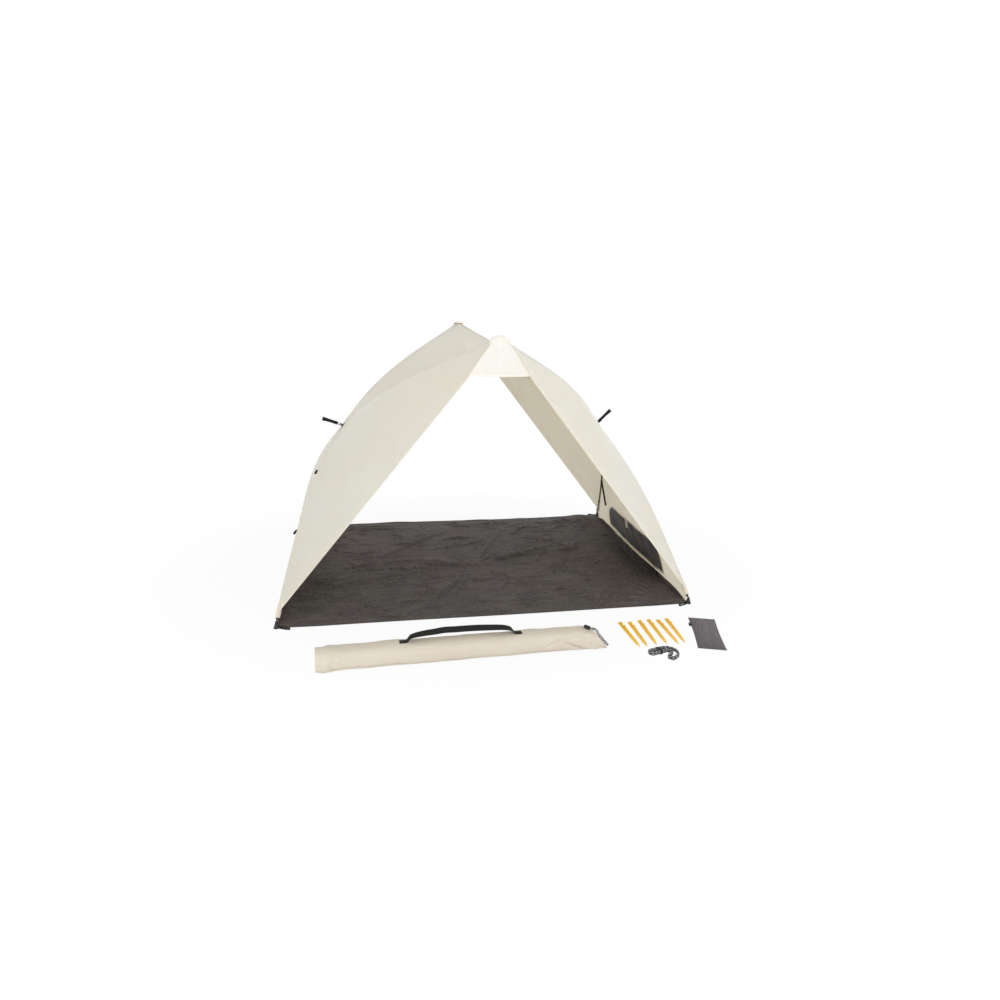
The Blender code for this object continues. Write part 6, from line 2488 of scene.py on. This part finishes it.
def rounded(path: Sequence[Vector], parts: int) -> list[Vector]:
    """A line with each stretch cut into parts on a smooth curve through its points.

    Args:
        path: The line.
        parts: The parts of each stretch.

    Returns:
        The points.
    """
    return [*(curve_point(path, i, j / parts) for i in range(len(path) - 1) for j in range(parts)), path[-1]]


@dataclass
class Pouch:
    """The flat pouch for the pegs and the guy line."""

    sewing: Sewing
    length: float = 0.335
    width: float = 0.138
    height: float = 0.016
    rim: float = 0.0026
    lowest: float = 0.0022
    back: float = 0.0004
    centre: Vector = field(default_factory=lambda: Vector((1.034, -1.140, 0.0)))
    turn: float = math.radians(-17.5)

    @property
    def stand(self) -> Matrix:
        """The pouch's own frame, with Y along it towards its drawn end."""
        return Matrix.Translation(self.centre) @ Matrix.Rotation(self.turn, 4, "Z")

    def build(self) -> None:
        """Lay the pouch: a crowned face on a flat back, sewn round its sides."""
        rows, columns = 96, 48
        share, over = np.meshgrid(np.linspace(0, 1, rows), np.linspace(-1, 1, columns), indexing="ij")
        half = self.width / 2 * (1 - 0.06 * np.sin(np.pi * share))
        y = self.length * (share - 0.5)
        x = half * over
        full = np.clip(np.sin(np.pi * np.clip(share, 0, 1)), 0, 1) ** 0.35
        crown = (1 - np.abs(over) ** 3.0)
        z = self.rim + (self.height * 0.80 * full - self.rim).clip(0) * crown
        folds = Waves(121, 0.060, 0.0011, 1.5, 0.35).at(x, y) + Waves(122, 0.022, 0.0004, 1.3, 0.8).at(x, y)
        gather = np.exp(-((1 - share) / 0.07) ** 2) * np.cos(x * 2 * math.pi / 0.013) * 0.0009
        for cx, cy, heading, reach, deep in (
                (-0.02, 0.06, 1.5, 0.09, -0.0022), (0.012, 0.05, 1.45, 0.08, -0.0020),
                (0.0, -0.03, 0.1, 0.06, -0.0016), (-0.04, -0.06, 0.7, 0.05, 0.0014)):
            folds += Crease(cx, cy, heading, reach, 0.6, 0.006, deep).at(x, y)
        z = z + (folds + gather) * crown * (0.3 + 0.7 * full)
        grid = np.stack([x, y, np.maximum(z, self.lowest)], -1)
        mesh = skin("peg_pouch_cloth", grid, np.stack([x, y], -1), 0.0, 0.0, UP)
        for vertex in mesh.vertices[rows * columns:]:
            vertex.co.z = self.back
        mesh.transform(self.stand)
        fit("peg_pouch_cloth", mesh, Finish.POUCH, Fold(KIT_BODY), "peg_pouch")
        sewn = [[self.stand @ Vector(p) + Vector((0, 0, 0.0003)) for p in row]
                for row in (grid[:, 3], grid[:, -4], grid[3], grid[-9])]
        self.sewing.rows("peg_pouch_stitches", sewn, Fold(KIT_BODY), dark=True)


# ---- studio

@dataclass(frozen=True)
class Camera:
    """The photograph's camera, for a picture of 1000 by 1000."""

    focal: float = 696.95
    place: tuple[float, float, float] = (-0.6568, -4.0718, 1.6375)
    yaw: float = math.radians(11.525)
    pitch: float = math.radians(16.687)
    roll: float = math.radians(1.734)

    def build(self) -> None:
        """Put the camera in the scene."""
        data = bpy.data.cameras.new("camera")
        data.sensor_width, data.sensor_fit = 36.0, "HORIZONTAL"
        data.lens = self.focal / 1000 * 36.0
        data.clip_start, data.clip_end = 0.05, 60.0
        item = added("camera", data)
        ahead = Vector((math.sin(self.yaw) * math.cos(self.pitch), math.cos(self.yaw) * math.cos(self.pitch),
                        -math.sin(self.pitch)))
        right = Vector((math.cos(self.yaw), -math.sin(self.yaw), 0.0))
        up = right.cross(ahead)
        over = math.cos(self.roll) * right + math.sin(self.roll) * up
        above = -math.sin(self.roll) * right + math.cos(self.roll) * up
        turn = Matrix((over, above, -ahead)).transposed().to_4x4()
        item.matrix_world = Matrix.Translation(self.place) @ turn
        bpy.context.scene.camera = item


@dataclass(frozen=True)
class Studio:
    """A pale floor, a white surround and soft lamps."""

    floor_size: float = 30.0
    world: float = 0.98
    overhead: float = 0.56
    floor_white: float = 0.92
    floor_grey: Colour = (0.84, 0.84, 0.84)
    shadow_edge: tuple[float, float] = (1.15, 1.75)
    world_tint: Colour = (1.0, 0.99, 0.98)
    white: Colour = (1.0, 1.0, 1.0)

    def build(self) -> None:
        """Set the stage."""
        scene = bpy.context.scene
        scene.view_settings.view_transform = "Standard"
        mesh = bpy.data.meshes.new("floor")
        s = self.floor_size / 2
        mesh.from_pydata([(-s, -s, 0), (s, -s, 0), (s, s, 0), (-s, s, 0)], [], [(0, 1, 2, 3)])
        floor = added("floor", mesh)
        mesh.materials.append(self.floor_material())
        self.surround()
        for name, place, target, size, power in (
                ("key", (2.0, -5.0, 4.0), (0.0, 0.0, 0.4), 3.2, 74.0),
                ("low", (-2.6, -5.4, 1.6), (0.2, 0.0, 0.5), 3.0, 58.0),
                ("fill", (-4.6, -2.6, 2.2), (0.0, 0.0, 0.5), 3.6, 20.0),
                ("right", (5.0, 1.6, 2.6), (0.3, 0.0, 0.5), 3.6, 46.0)):
            light = bpy.data.lights.new(name, "AREA")
            light.size, light.energy = size, power
            lamp = added(name, light)
            lamp.location = place
            lamp.rotation_mode = "QUATERNION"
            lamp.rotation_quaternion = (Vector(target) - Vector(place)).to_track_quat("-Z", "Y")

    def floor_material(self) -> bpy.types.Material:
        """White to the camera, and still carrying the object's shadow.

        Returns:
            The material.
        """
        s = Shade.named("floor_white")
        camera = s.node("ShaderNodeLightPath", output="Is Camera Ray")
        seen = camera.most(s.also(camera, "Is Glossy Ray")).most(s.also(camera, "Is Transmission Ray"))
        reach = s.node("ShaderNodeVectorMath", {"operation": "LENGTH"},
                       {0: s.stretch(s.place(), (0.8, 1.0, 1.0))}, output="Value")
        clear = reach.within(*self.shadow_edge) * (1.0 - self.floor_white) + self.floor_white
        plain = s.node("ShaderNodeBsdfDiffuse", None, {"Color": self.floor_grey})
        white = s.node("ShaderNodeEmission", None, {"Color": self.white, "Strength": 1.0})
        return s.close(s.node("ShaderNodeMixShader", None, {0: seen * clear, 1: plain, 2: white}))

    def surround(self) -> None:
        """A world that is white to the camera, and dimmer as a light."""
        s = Shade(bpy.data.worlds.new("surround"))
        camera = s.node("ShaderNodeLightPath", output="Is Camera Ray")
        seen = camera.most(s.also(camera, "Is Transmission Ray"))
        height = s.node("ShaderNodeSeparateXYZ", None, {0: s.node("ShaderNodeTexCoord", output="Generated")},
                        output=2)
        power = s.node("ShaderNodeMapRange", None,
                       {0: height, 1: 0.1, 2: 1.0, 3: self.world, 4: self.overhead})
        dim = s.node("ShaderNodeBackground", None, {0: self.world_tint, 1: power})
        bright = s.node("ShaderNodeBackground", None, {0: self.white, 1: 1.0})
        mixed = s.node("ShaderNodeMixShader", None, {0: seen, 1: dim, 2: bright})
        bpy.context.scene.world = s.close(mixed, "World")


def write_sizes() -> None:
    """Bring the view layer up to date.
    """
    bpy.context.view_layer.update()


def main() -> None:
    """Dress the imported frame, piece by piece."""
    logging.basicConfig(level=logging.INFO, format="%(name)s: %(message)s")
    for item in list(bpy.data.objects):
        bpy.data.objects.remove(item, do_unlink=True)
    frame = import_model()
    Camera().build()
    GuyLine().build()
    sewing = Sewing(stitch_tree())
    fittings = Fittings(sewing, tie_tree())
    fittings.finishes(frame["nodes"])
    canopy = Canopy(sewing)
    for step in (canopy.side_panels, canopy.roof, canopy.hoods, canopy.walls, canopy.seam_beads, canopy.cuffs,
                 Groundsheet(sewing).build, Pocket(sewing).build, fittings.pull_straps, fittings.stake_loops,
                 fittings.rod_ties, fittings.inside_trim, CarryBag(sewing).build, Pouch(sewing).build,
                 Studio().build):
        step()
        LOG.info("built %s", step.__qualname__)
    write_sizes()


if __name__ == "__main__":
    main()
